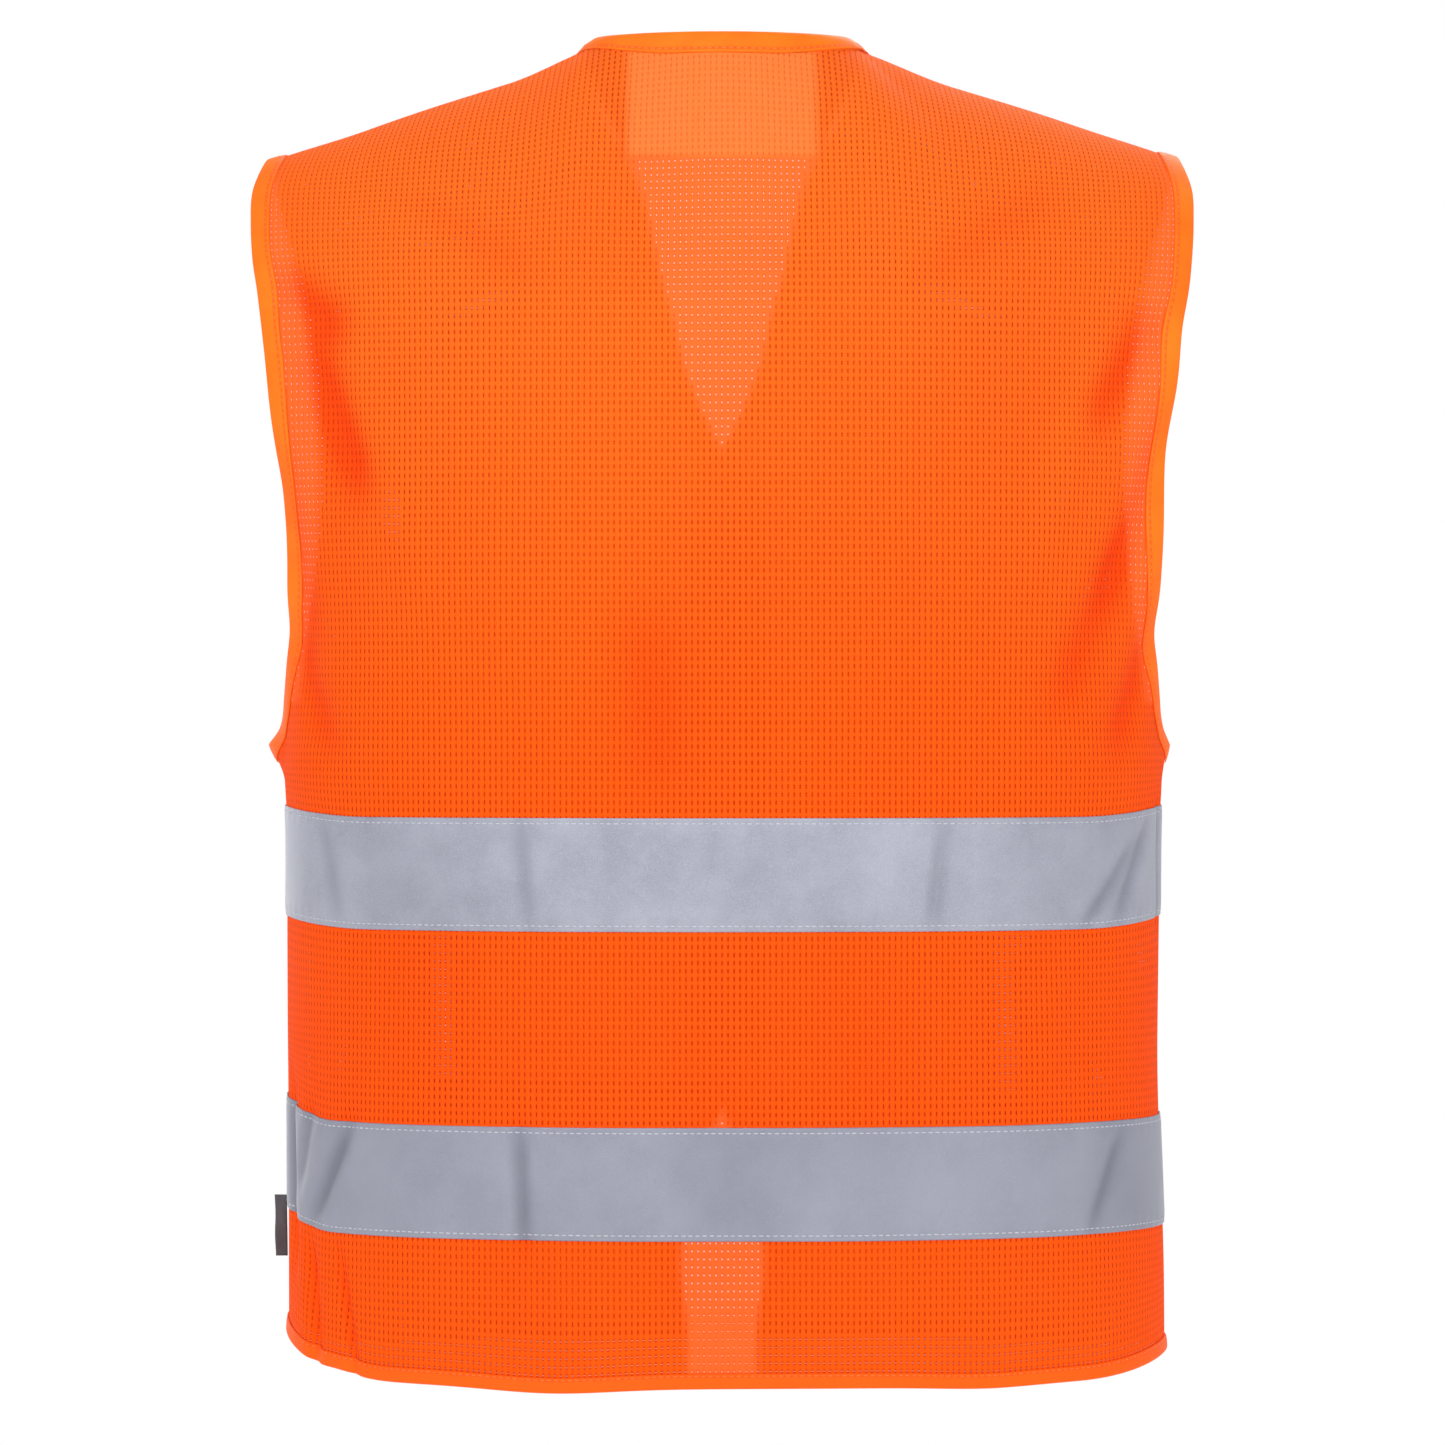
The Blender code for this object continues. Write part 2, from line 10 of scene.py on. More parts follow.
import bpy
import numpy as np
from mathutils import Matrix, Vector


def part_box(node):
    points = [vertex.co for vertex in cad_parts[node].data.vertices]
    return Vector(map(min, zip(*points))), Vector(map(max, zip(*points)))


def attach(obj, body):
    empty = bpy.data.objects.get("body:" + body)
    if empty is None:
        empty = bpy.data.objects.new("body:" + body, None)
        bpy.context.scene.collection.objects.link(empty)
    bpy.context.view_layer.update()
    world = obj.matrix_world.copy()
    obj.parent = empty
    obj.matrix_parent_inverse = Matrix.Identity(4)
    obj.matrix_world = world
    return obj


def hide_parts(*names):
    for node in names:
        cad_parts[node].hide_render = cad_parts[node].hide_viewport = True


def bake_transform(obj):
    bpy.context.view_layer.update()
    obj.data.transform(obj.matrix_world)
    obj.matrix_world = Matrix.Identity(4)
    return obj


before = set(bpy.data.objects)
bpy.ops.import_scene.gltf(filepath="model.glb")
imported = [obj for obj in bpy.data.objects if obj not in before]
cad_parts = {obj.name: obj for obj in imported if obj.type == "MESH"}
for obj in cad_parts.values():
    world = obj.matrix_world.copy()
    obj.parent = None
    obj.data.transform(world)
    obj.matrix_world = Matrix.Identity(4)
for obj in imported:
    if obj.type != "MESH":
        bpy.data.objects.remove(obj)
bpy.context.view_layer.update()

# ---- sizes shared with the solid part ----
NECK_HALF, NECK_DEPTH, NECK_TOP = 0.0635, 0.045, 0.0015
RIDGE_SLOPE, TIP_X, TURN_Z = 0.324, 0.2105, -0.12
SIDE_X, UNDERARM_Z, HEM_Z = 0.2010, -0.318, -0.5985
SQUARENESS, WIDTH_SLOPE, LAYER = 2.4, 0.1, 0.0022
UPPER_TAPE, LOWER_TAPE, LOWER_TAPE_LEFT = (-0.399, -0.349), (-0.535, -0.485), (-0.526, -0.476)

DEPTH_BACK = [(-0.60, 0.115), (-0.35, 0.118), (-0.20, 0.113), (-0.12, 0.108), (0.01, 0.097)]
DEPTH_FRONT = [(-0.60, 0.112), (-0.35, 0.109), (-0.20, 0.112), (-0.12, 0.106), (0.01, 0.095)]
ARM_Z = (-0.318, -0.297, -0.269, -0.242, -0.214, -0.187, -0.159, -0.132, -0.104, -0.080,
         -0.063, -0.046)
ARM_BACK_X = list(zip(ARM_Z, (0.2010, 0.1996, 0.1992, 0.2005, 0.2025, 0.2050, 0.2075, 0.2102,
                              0.2142, 0.2158, 0.2155, 0.2105)))
ARM_FRONT_X = list(zip(ARM_Z, (0.2010, 0.1990, 0.1962, 0.1935, 0.1915, 0.1908, 0.1920, 0.1945,
                               0.1990, 0.2040, 0.2080, 0.2105)))
ARM_DEEP_Z = (-0.318, -0.309, -0.297, -0.269, -0.242, -0.214, -0.187, -0.159, -0.120)
ARM_BACK_Y = list(zip(ARM_DEEP_Z, (0.0011, 0.0165, 0.0270, 0.0410, 0.0510, 0.0575, 0.0605,
                                   0.0625, 0.0625)))
ARM_FRONT_Y = list(zip(ARM_DEEP_Z, (0.0011, 0.0145, 0.0240, 0.0365, 0.0455, 0.0525, 0.0570,
                                    0.0600, 0.0620)))
V_NECK = [(-0.210, -0.0180), (-0.195, -0.0140), (-0.177, 0.0), (-0.151, 0.0133),
          (-0.134, 0.0194), (-0.118, 0.0227), (-0.094, 0.0296), (-0.080, 0.0325),
          (-0.050, 0.0400), (-0.033, 0.0470), (-0.015, 0.0565), (0.0, 0.0635)]
FRONT_EDGE = [(-0.600, 0.0165), (-0.560, 0.0200), (-0.510, 0.0080), (-0.485, -0.0030),
              (-0.455, -0.0155), (-0.430, -0.0180), (-0.210, -0.0180)]
# A side's armhole, its depth against height, and whether its top lies on the nape's oval.
BACK_CUT = ARM_BACK_X, ARM_BACK_Y, DEPTH_BACK, True
FRONT_CUT = ARM_FRONT_X, ARM_FRONT_Y, DEPTH_FRONT, False
PATCH_ROWS = {"lower": (-0.455, -0.415), "upper": (-0.255, -0.210)}

# ---- the knit and the sewing ----
EYE_Z = -0.307            # the level that the knit's rows are counted from
BACK_KNIT = (0.00264, 0.00352, 0.0)    # hole to hole across and up, and the lattice's phase
FRONT_KNIT = (0.00287, 0.00383, 0.5)   # the fronts' cloth is stretched a little more
HOLE = (0.11, 0.21)       # a hole's width and height as shares of those
HOLE_CLOSING = 0.45       # the share of a hole's width that is closed at the sides
TAPE_LIFT = 0.0010        # a tape's face off the cloth
BIND_WIDTH = 0.0084
HEM_WIDTH = 0.0054
STITCH = 0.0031           # one stitch and its gap
SEAM_ALLOWANCE = 0.0056   # how far the overlocked edges reach each side of a side seam
SEAM_LAP = 0.0004         # a tape stops this far short of a side seam
CUT_END = 0.0036          # a tape's stitches stop this far before its end
THREAD_SUNK = 0.0002      # how far a stitch sinks into a tape
THREAD_ON_EDGE = 0.00085  # a stitch's foot off the cloth, on a folded strip
CLOSURE_OFF = 0.0008      # the touch tape's middle off the cloth
FACING_IN = 0.0011        # the neck facing's face inside the back's cloth
SEAM_IN = 0.0007          # the seam allowances' face inside the cloth
TAPE_ROW = 0.0025         # from a tape's edge to the stitches that hold it
WEBBING = 0.0004          # how thick the tape, the facing and the seam allowances are
FACING_DEEP, FACING_FOOT = 0.0645, -0.054   # the neck facing's length and lowest height
V_FOOT_Z = -0.21          # the fronts' edges follow the V neck above this height
SEEN_IN = 0.92            # how much nearer the middle the fronts' edges show through the back
SEWN_DIP = 0.11           # where round a folded strip its stitches sink in, of 2
NECK_WIDTH = 0.0076


def smooth(x):
    """0 below 0, 1 above 1, and an S curve between."""
    x = np.clip(x, 0.0, 1.0)
    return x * x * (3 - 2 * x)


def bell(x):
    """1 at 0, falling off to both sides."""
    return np.exp(-x * x)


def run_along(x, y):
    """The length run so far at each point of a line."""
    return np.concatenate([[0], np.cumsum(np.hypot(np.diff(x), np.diff(y)))])


def band(t, low, start, end, high):
    """1 from start to end, falling smoothly to 0 at low and at high."""
    return smooth((t - low) / (start - low)) * smooth((high - t) / (high - end))


# ---- the body's skin ----
def along(table, z):
    """A size at height z: a cubic through the table's points, with averaged slopes."""
    xs, ys = np.array(table).T
    slopes = np.gradient(ys, xs)
    z = np.clip(z, xs[0], xs[-1])
    k = np.clip(np.searchsorted(xs, z) - 1, 0, len(xs) - 2)
    h = xs[k + 1] - xs[k]
    f = (z - xs[k]) / h
    low = (1 + 2 * f) * (1 - f) ** 2 * ys[k] + f * (1 - f) ** 2 * h * slopes[k]
    high = f * f * (3 - 2 * f) * ys[k + 1] + f * f * (f - 1) * h * slopes[k + 1]
    return low + high


def straight(table, z):
    """A size at height z, along straight lines between the table's points."""
    xs, ys = np.array(table).T
    return np.interp(z, xs, ys)


def half_width(z, arm_x, arm_y, depth):
    """Half width of the cross-section whose curve passes through the armhole's edge."""
    low = np.minimum(z, TURN_Z)
    share = (straight(arm_y, low) / straight(depth, low)) ** SQUARENESS
    wide = along(arm_x, low) / (1 - share) ** (1 / SQUARENESS)
    wide = wide + WIDTH_SLOPE * np.maximum(z - TURN_Z, 0.0)
    return np.where(z <= UNDERARM_Z, SIDE_X, wide)


def ridge_z(x):
    """Height of the shoulders' top: level at the nape, then falling to the tips."""
    return NECK_TOP - RIDGE_SLOPE * np.maximum(np.abs(x) - NECK_HALF, 0.0)


def turned(x, turn, cut):
    """(y, z) on the shoulder's curve, turn degrees past its top, y as a distance.

    A superellipse quarter whose squareness grows from the nape out to the shoulder; with
    nape set, its top lies on the back neckline's oval, which softens as the cloth drops.
    """
    arm_x, arm_y, depth, nape = cut
    power = 1.2 + 0.45 * smooth((np.abs(x) - 0.02) / 0.09)
    angle = np.radians(turn)
    drop = 1 - np.cos(angle) ** (2 / power)
    reach = np.sin(angle) ** (2 / power)
    z = ridge_z(x) - drop * (ridge_z(x) - TURN_Z)
    wide = half_width(z, arm_x, arm_y, depth)
    inside = np.maximum(1 - (np.abs(x) / wide) ** SQUARENESS, 0.0)
    full = straight(depth, z) * inside ** (1 / SQUARENESS)
    top = 0.0
    if nape:
        soft = np.minimum(drop / 0.35, 1.0)
        oval = np.maximum(1 - (x / (NECK_HALF + 0.05 * soft)) ** 2, 0.0)
        top = NECK_DEPTH * oval ** (0.5 + 1.2 * soft)
    return top + (full - top) * reach, z


def edge_at(turn, table, cut):
    """x where an edge, given as x against height, crosses the shoulder's curve."""
    x = np.full_like(turn, along(table, TURN_Z))
    for _ in range(60):
        x = 0.5 * x + 0.5 * along(table, turned(x, turn, cut)[1])
    return x


def seam_turn(x):
    """Degrees past the ridge at which the shoulder seam lies, on the chest side."""
    return 14.0 + 31.0 * np.clip((np.abs(x) - NECK_HALF) / (TIP_X - NECK_HALF), 0, 1)


class Skin:
    """One side of the body, back or chest, as a table of points read by cloth lengths.

    Rows are t. Below TURN_Z a row is a superellipse at that height, divided evenly round
    its length from the middle to the side; above, each column runs on over the shoulder
    and is divided evenly by its own length. Points between are found linearly.
    """

    columns = 361

    def __init__(self, chest):
        self.chest = chest
        self.cut = FRONT_CUT if chest else BACK_CUT
        arm_x, arm_y, depth = self.cut[:3]
        share = np.linspace(0, 1, self.columns)
        low_t = np.linspace(HEM_Z - 0.006, TURN_Z, 330)
        angle = np.linspace(0, math.pi / 2, 700)
        wide = half_width(low_t, arm_x, arm_y, depth)[:, None]
        deep = along(depth, low_t)[:, None]
        x = wide * np.sin(angle) ** (2 / SQUARENESS)
        y = deep * np.cos(angle) ** (2 / SQUARENESS)
        arc = np.zeros_like(x)
        arc[:, 1:] = np.cumsum(np.hypot(np.diff(x), np.diff(y)), axis=1)
        self.full = arc[:, -1]
        low = np.zeros((len(low_t), self.columns, 3))
        arm = np.zeros(len(low_t))
        arm_edge = straight(arm_y, low_t)
        for r in range(len(low_t)):
            low[r, :, 0] = np.interp(share * arc[r, -1], arc[r], x[r])
            low[r, :, 1] = np.interp(share * arc[r, -1], arc[r], y[r])
            arm[r] = np.interp(-arm_edge[r], -y[r], arc[r])
        low[:, :, 2] = low_t[:, None]
        self.arm_t, self.arm_s = low_t, np.where(low_t <= UNDERARM_Z, self.full, arm)
        self.arm_top = arm[-1]

        # Over the shoulder: columns keep their share of the way from the middle to the tip.
        first = low[-1, :, 0] / np.interp(self.arm_top, share * self.full[-1], low[-1, :, 0])
        part = share * self.full[-1] / self.arm_top
        turns = np.arange(90.0, 1.5 if chest else -0.5, -1.0)
        edge = edge_at(turns, arm_x, self.cut)
        mix = np.cos(np.radians(turns))[:, None] ** 1.2
        px = (first + (part - first) * mix) * edge[:, None]
        py, pz = turned(px, turns[:, None], self.cut)
        high = np.stack([px, py, pz], axis=2)
        if not chest:
            top_x = part * TIP_X
            on = np.arange(1.0, 58.0)
            inner = edge_at(on, V_NECK, FRONT_CUT)[:, None]
            outer = edge_at(on, ARM_FRONT_X, FRONT_CUT)[:, None]
            wx = inner + (outer - inner) * (top_x - NECK_HALF) / (TIP_X - NECK_HALF)
            wy, wz = turned(wx, on[:, None], FRONT_CUT)
            wrap = np.stack([wx, -wy, wz], axis=2)
            run = high[-1] - high[-4]
            run = run / np.linalg.norm(run, axis=1, keepdims=True)
            ahead = high[-1] + run * (on * 0.0003)[:, None, None]
            high = np.concatenate([high, np.where((top_x < NECK_HALF)[:, None], ahead, wrap)])
        step = np.linalg.norm(np.diff(high, axis=0), axis=2)
        climb = np.zeros(high.shape[:2])
        climb[1:] = np.cumsum(step, axis=0)
        high_t = np.arange(TURN_Z + 0.001, TURN_Z + 0.215, 0.001)
        upper = np.zeros((len(high_t), self.columns, 3))
        seam, ridge = np.zeros(self.columns), np.zeros(self.columns)
        for c in range(self.columns):
            for k in range(3):
                upper[:, c, k] = np.interp(high_t - TURN_Z, climb[:, c], high[:, c, k])
            if chest:
                before = turns - seam_turn(px[:, c])
                seam[c] = TURN_Z + np.interp(0.0, -before, climb[:, c])
                ridge[c] = seam[c]
            else:
                ridge[c] = TURN_Z + climb[90, c]
                rows = 90 + seam_turn(top_x[c])
                seam[c] = (TURN_Z + np.interp(rows, np.arange(len(high)), climb[:, c])
                           if top_x[c] >= NECK_HALF else ridge[c])
        self.seam_t, self.ridge_t = seam, ridge
        self.column_s = share * self.full[-1]
        if chest:
            low[:, :, 1] *= -1
            upper[:, :, 1] *= -1
            v_x = edge_at(turns, V_NECK, self.cut)
            self.v_s = np.array([np.interp(v, px[k], self.column_s)
                                 for k, v in enumerate(v_x)])
            self.v_t = TURN_Z + np.array([np.interp(s, self.column_s, climb[k])
                                          for k, s in enumerate(self.v_s)])
        else:
            self.neck_s = float(np.interp(NECK_HALF, top_x, self.column_s))
        self.t = np.concatenate([low_t, high_t])
        self.full = np.concatenate([self.full, np.full(len(high_t), self.full[-1])])
        self.points = np.concatenate([low, upper])
        up = np.gradient(self.points, axis=0)
        out = np.gradient(self.points, axis=1)
        normal = np.cross(out, up) if chest else np.cross(up, out)
        normal /= np.maximum(np.linalg.norm(normal, axis=2, keepdims=True), 1e-12)
        normal[:, 0, 0] = 0.0
        self.normals = normal

    def read(self, s, t):
        """Point and outward normal at cloth lengths s and t."""
        s, t = np.broadcast_arrays(np.asarray(s, float), np.asarray(t, float))
        row = np.interp(t, self.t, np.arange(len(self.t)))
        col = np.abs(s) / np.interp(t, self.t, self.full) * (self.columns - 1)
        col = np.clip(col, 0, self.columns - 1.000001)
        row = np.clip(row, 0, len(self.t) - 1.000001)
        r, c = row.astype(int), col.astype(int)
        fr, fc = (row - r)[..., None], (col - c)[..., None]

        def between(table):
            return ((table[r, c] * (1 - fc) + table[r, c + 1] * fc) * (1 - fr)
                    + (table[r + 1, c] * (1 - fc) + table[r + 1, c + 1] * fc) * fr)

        point, normal = between(self.points), between(self.normals)
        flip = np.where(s < 0, -1.0, 1.0)
        point[..., 0] *= flip
        normal[..., 0] *= flip
        return point, normal / np.linalg.norm(normal, axis=-1, keepdims=True)

    def full_at(self, t):
        return np.interp(t, self.t, self.full)

    def arm_at(self, t):
        """Length round to the armhole's edge, or to the side seam below the arm."""
        return np.where(np.asarray(t) > TURN_Z, self.arm_top,
                        np.interp(t, self.arm_t, self.arm_s))

    def seam_at(self, s):
        return np.interp(np.abs(s), self.column_s, self.seam_t)

    def ridge_at(self, s):
        return np.interp(np.abs(s), self.column_s, self.ridge_t)


BACK, CHEST = Skin(False), Skin(True)


# ---- how the cloth hangs ----
def hang(s, t, chest):
    """How much higher than level the cloth lies, towards the side seams and along the hem."""
    side = smooth((np.abs(s) - 0.165) / 0.09)
    lift = 0.0045 * side * band(t, -0.445, -0.400, -0.348, -0.322)
    lift = lift + (0.0114 + 0.0046 * np.sign(s)) * side * smooth((-0.540 - t) / 0.055)
    if not chest:
        corner = smooth((s - 0.185) / 0.072)
        lift = lift + 0.0090 * corner * band(t, -0.600, -0.545, -0.480, -0.440)
        low = smooth((-0.555 - t) / 0.04)
        lift = lift - low * (0.0026 * bell((s - 0.075) / 0.036)
                             + 0.0014 * bell((s + 0.118) / 0.030)
                             - 0.0022 * bell((s - 0.180) / 0.016))
    return lift


def crease(s, t, at, towards, length, width, depth):
    """A straight soft fold: a bell across its line, fading along it."""
    ds, dt = s - at[0], t - at[1]
    c, q = math.cos(math.radians(towards)), math.sin(math.radians(towards))
    run, off = ds * c + dt * q, -ds * q + dt * c
    return depth * bell(off / width) * smooth((length / 2 - np.abs(run)) / (length * 0.35))


BACK_FOLDS = [  # place, direction in degrees from level, length, width, depth
    ((0.196, -0.12), 40, 0.07, 0.013, -0.0042), ((0.182, -0.172), 62, 0.11, 0.013, -0.005),
    ((0.152, -0.205), 70, 0.15, 0.012, 0.002), ((0.214, -0.225), 78, 0.13, 0.011, -0.003),
    ((-0.19, -0.15), 128, 0.1, 0.013, -0.0044), ((-0.204, -0.21), 112, 0.14, 0.012, -0.0042),
    ((-0.16, -0.19), 110, 0.15, 0.011, 0.0018), ((-0.176, -0.262), 118, 0.12, 0.011, -0.0026),
    ((0.088, -0.374), 84, 0.075, 0.0042, -0.0015),
    ((-0.096, -0.374), 97, 0.075, 0.0038, -0.0016),
    ((0.089, -0.512), 88, 0.085, 0.0038, -0.0022), ((0.098, -0.512), 80, 0.07, 0.005, 0.001),
    ((-0.186, -0.38), 134, 0.072, 0.0042, -0.0018),
    ((-0.204, -0.374), 124, 0.07, 0.0045, -0.002), ((-0.182, -0.512), 116, 0.07, 0.0045, -0.002),
    ((0.189, -0.508), 120, 0.08, 0.005, -0.0027), ((0.211, -0.5), 106, 0.06, 0.0045, -0.0018),
    ((0.19, -0.372), 76, 0.07, 0.006, -0.0014), ((0.2275, -0.52), 86, 0.13, 0.005, -0.0034),
    ((-0.235, -0.372), 90, 0.09, 0.0034, -0.0022), ((0.203, -0.572), 84, 0.085, 0.0042, -0.0046),
    ((0.178, -0.574), 79, 0.085, 0.003, -0.0034), ((-0.15, -0.445), 100, 0.08, 0.008, 0.0008),
    ((0.02, -0.568), 96, 0.075, 0.009, -0.001), ((-0.12, -0.575), 84, 0.07, 0.007, 0.001),
    ((0.118, -0.08), 40, 0.12, 0.012, -0.001), ((-0.118, -0.085), 140, 0.12, 0.012, -0.001),
    ((0.205, -0.29), 60, 0.1, 0.01, -0.0028), ((-0.207, -0.29), 120, 0.1, 0.01, -0.003),
    ((0.03, -0.3), 84, 0.12, 0.015, -0.0016), ((-0.07, -0.27), 98, 0.14, 0.014, 0.0016),
    ((0.1, -0.25), 80, 0.14, 0.015, 0.0014),
]
FRONT_FOLDS = [
    ((0.07, -0.374), 86, 0.08, 0.0045, -0.001), ((0.165, -0.38), 62, 0.09, 0.0055, -0.0014),
    ((0.12, -0.512), 95, 0.085, 0.0045, -0.0011), ((0.205, -0.505), 108, 0.09, 0.006, -0.0014),
    ((0.15, -0.18), 70, 0.12, 0.011, -0.002), ((0.185, -0.27), 58, 0.1, 0.009, -0.0016),
    ((-0.08, -0.374), 94, 0.08, 0.0045, -0.001), ((-0.16, -0.385), 118, 0.09, 0.0055, -0.0014),
    ((-0.1, -0.512), 85, 0.085, 0.0045, -0.0011), ((-0.2, -0.505), 74, 0.09, 0.006, -0.0013),
    ((-0.155, -0.175), 110, 0.12, 0.011, -0.002), ((-0.188, -0.268), 122, 0.1, 0.009, -0.0016),
]


def ripple(s, t, chest):
    """How far the cloth lies off the even skin: long waves, folds, and the seams' dips."""
    folds = FRONT_FOLDS if chest else BACK_FOLDS
    lift = 0.0007 * np.sin(31 * s + 9 * t + 0.6) * np.sin(17 * t - 6 * s)
    lift = lift + 0.0004 * np.sin(67 * s - 21 * t) * smooth((-0.30 - t) / 0.2)
    for place, towards, length, width, depth in folds:
        lift = lift + crease(s, t, place, towards, length, width, depth)
    skin = CHEST if chest else BACK
    from_side = skin.full_at(t) - np.abs(s)
    body = smooth((UNDERARM_Z + 0.004 - t) / 0.006)
    lift = lift * smooth(from_side / 0.012)
    lift = lift - 0.0009 * body * bell(from_side / 0.0018)
    tip = np.maximum(1 - np.abs(t - UNDERARM_Z - 0.0005) / 0.019, 0.0) ** 1.4
    lift = lift + (0.0053 + 0.0016 * np.sign(s)) * tip * smooth(1 - from_side / 0.026)
    to_seam = skin.seam_at(s) - t
    over = np.abs(s) > (0.0 if chest else BACK.neck_s)
    return lift - np.where(over, 0.0006 * bell(to_seam / 0.0016), 0.0)


ARM_DRAW = [  # how far in the sides and the armholes are drawn, against height
    (-0.60, 0.0021), (-0.40, 0.0021), (-0.355, 0.0020), (-0.325, 0.0006), (-0.30, 0.0018),
    (-0.27, 0.0036), (-0.22, 0.0048), (-0.14, 0.0052), (-0.10, 0.0050), (-0.06, 0.0036),
    (-0.04, 0.0028)]


def settled(point):
    """The whole cloth's settling: shoulders hollow between neck and tip, armholes drawn in."""
    x, z = point[..., 0], point[..., 2]
    far = np.abs(x)
    start = 0.060 - 0.004 * np.sign(x)
    hollow = smooth((far - start) / 0.042) * (1 - 0.30 * smooth((far - 0.165) / 0.04))
    drop = (0.0037 + 0.0006 * np.sign(x)) * hollow * smooth((z + 0.115) / 0.06)
    draw = along(ARM_DRAW, z) + 0.0006 * np.sign(x) * smooth((-0.30 - z) / 0.04)
    draw = draw - 0.0026 * smooth((-0.45 - z) / 0.11) * (x < 0)
    draw = np.sign(x) * draw * smooth((far - 0.125) / 0.07)
    return np.stack([x - draw, point[..., 1], z - drop], axis=-1)


def on_back(s, t, lift=0.0):
    """Points on the back's cloth, moved off it by lift."""
    point, normal = BACK.read(s, t)
    point[..., 2] += hang(s, t, False)
    return settled(point + normal * np.asarray(ripple(s, t, False) + lift)[..., None])


def on_front(side):
    """The same for a front, where s runs from the middle line towards that front's side."""
    def place(s, t, lift=0.0):
        s, t = np.broadcast_arrays(np.asarray(s, float), np.asarray(t, float))
        point, normal = CHEST.read(s, t)
        point[..., 2] += hang(side * s, t, True)
        lap = side * LAYER * smooth((0.095 - s) / 0.069) * smooth((-0.10 - t) / 0.07)
        point = point + normal * (ripple(side * s, t, True) + lap + lift)[..., None]
        point[..., 0] *= side
        return settled(point)
    return place


def facing_half(z):
    """The neck facing's half width at a height: wider towards the neck, to the V's edge."""
    return 0.0460 + 0.0185 * smooth((z + 0.056) / 0.048)


# ---- meshes ----
def mesh_piece(name, points, faces, finish, uv=None, marks=None):
    """A smooth mesh object at the origin. faces is a list of index arrays, rows of corners.

    uv is the pair of pattern lengths at each point. marks gives numbers from 0 to 1 there,
    by name. Both are for the finish to read.
    """
    mesh = bpy.data.meshes.new(name)
    points = np.asarray(points, np.float32).reshape(-1, 3)
    loops = np.concatenate([f.ravel() for f in faces]).astype(np.int32)
    sizes = np.concatenate([np.full(len(f), f.shape[1]) for f in faces]).astype(np.int32)
    starts = np.concatenate([[0], np.cumsum(sizes)[:-1]]).astype(np.int32)
    mesh.vertices.add(len(points))
    mesh.vertices.foreach_set("co", points.ravel())
    mesh.loops.add(len(loops))
    mesh.loops.foreach_set("vertex_index", loops)
    mesh.polygons.add(len(sizes))
    mesh.polygons.foreach_set("loop_start", starts)
    mesh.polygons.foreach_set("use_smooth", np.ones(len(sizes), bool))
    mesh.update(calc_edges=True)
    if uv is not None:
        layer = mesh.uv_layers.new(name="weave")
        pair = np.stack(np.broadcast_arrays(*uv), axis=-1).astype(np.float32).reshape(-1, 2)
        layer.uv.foreach_set("vector", pair[loops].ravel())
    for mark, values in (marks or {}).items():
        layer = mesh.attributes.new(mark, "FLOAT", "POINT")
        layer.data.foreach_set("value", np.asarray(values, np.float32).ravel())
    mesh.materials.append(finish)
    piece = bpy.data.objects.new(name, mesh)
    bpy.context.scene.collection.objects.link(piece)
    return piece


def grid_faces(rows, cols, wrap=False, flip=False):
    """Quads of a grid of points, row by row; wrap joins the last column to the first."""
    index = np.arange(rows * cols).reshape(rows, cols)
    if wrap:
        index = np.concatenate([index, index[:, :1]], axis=1)
    quads = np.stack([index[:-1, :-1], index[:-1, 1:], index[1:, 1:], index[1:, :-1]],
                     axis=2).reshape(-1, 4)
    return quads[:, ::-1] if flip else quads


def used_only(faces, *tables):
    """Drops the points that no face uses: the faces renumbered, then each table cut down."""
    used = np.zeros(len(tables[0]), bool)
    for face in faces:
        used[face.ravel()] = True
    number = np.cumsum(used) - 1
    return [[number[face] for face in faces]] + [table[used] for table in tables]


def thicken(piece, thickness=WEBBING, offset=-1.0):
    """Gives a sheet its thickness, inwards unless offset says otherwise."""
    solid = piece.modifiers.new("thickness", "SOLIDIFY")
    solid.thickness = thickness
    solid.offset = offset
    solid.use_even_offset = True
    return piece


def closing_x(z):
    """x of the fronts' own edges at a height: the straight closing, then the V neck."""
    return np.where(z <= V_FOOT_Z, along(FRONT_EDGE, z), along(V_NECK, z))


def layers_behind(points):
    """What lies inside the back's cloth at each point: nothing, so that light comes through it
    and painted light makes the cloth paler there, and how surely the neck facing does. Both
    change over a few millimetres.

    Nothing does inside the V and its foot, below the fronts' parted corners, and outside
    the fronts' deeper armholes.
    """
    x = np.abs(points[:, 0]) / SEEN_IN
    z = EYE_Z + (points[:, 2] - EYE_Z) / SEEN_IN
    inner = smooth((closing_x(z) - x) / 0.004 + 0.5)
    arm = along(ARM_FRONT_X, np.minimum(z, -0.046)) - along(ARM_DRAW, points[:, 2])
    outer = smooth((x * SEEN_IN + 0.0085 - arm) / 0.006) * (points[:, 2] > UNDERARM_Z + 0.02)
    top = smooth((points[:, 2] - FACING_FOOT + 0.0012) / 0.0024)
    covered = top * smooth((facing_half(points[:, 2]) - np.abs(points[:, 0])) / 0.003)
    lined = top * smooth((0.0455 - np.abs(points[:, 0])) / 0.0060)
    lit_through = np.where(points[:, 1] > 0, np.maximum(inner, outer), 0.0)
    return lit_through * (1 - covered), lined * (points[:, 1] > 0)


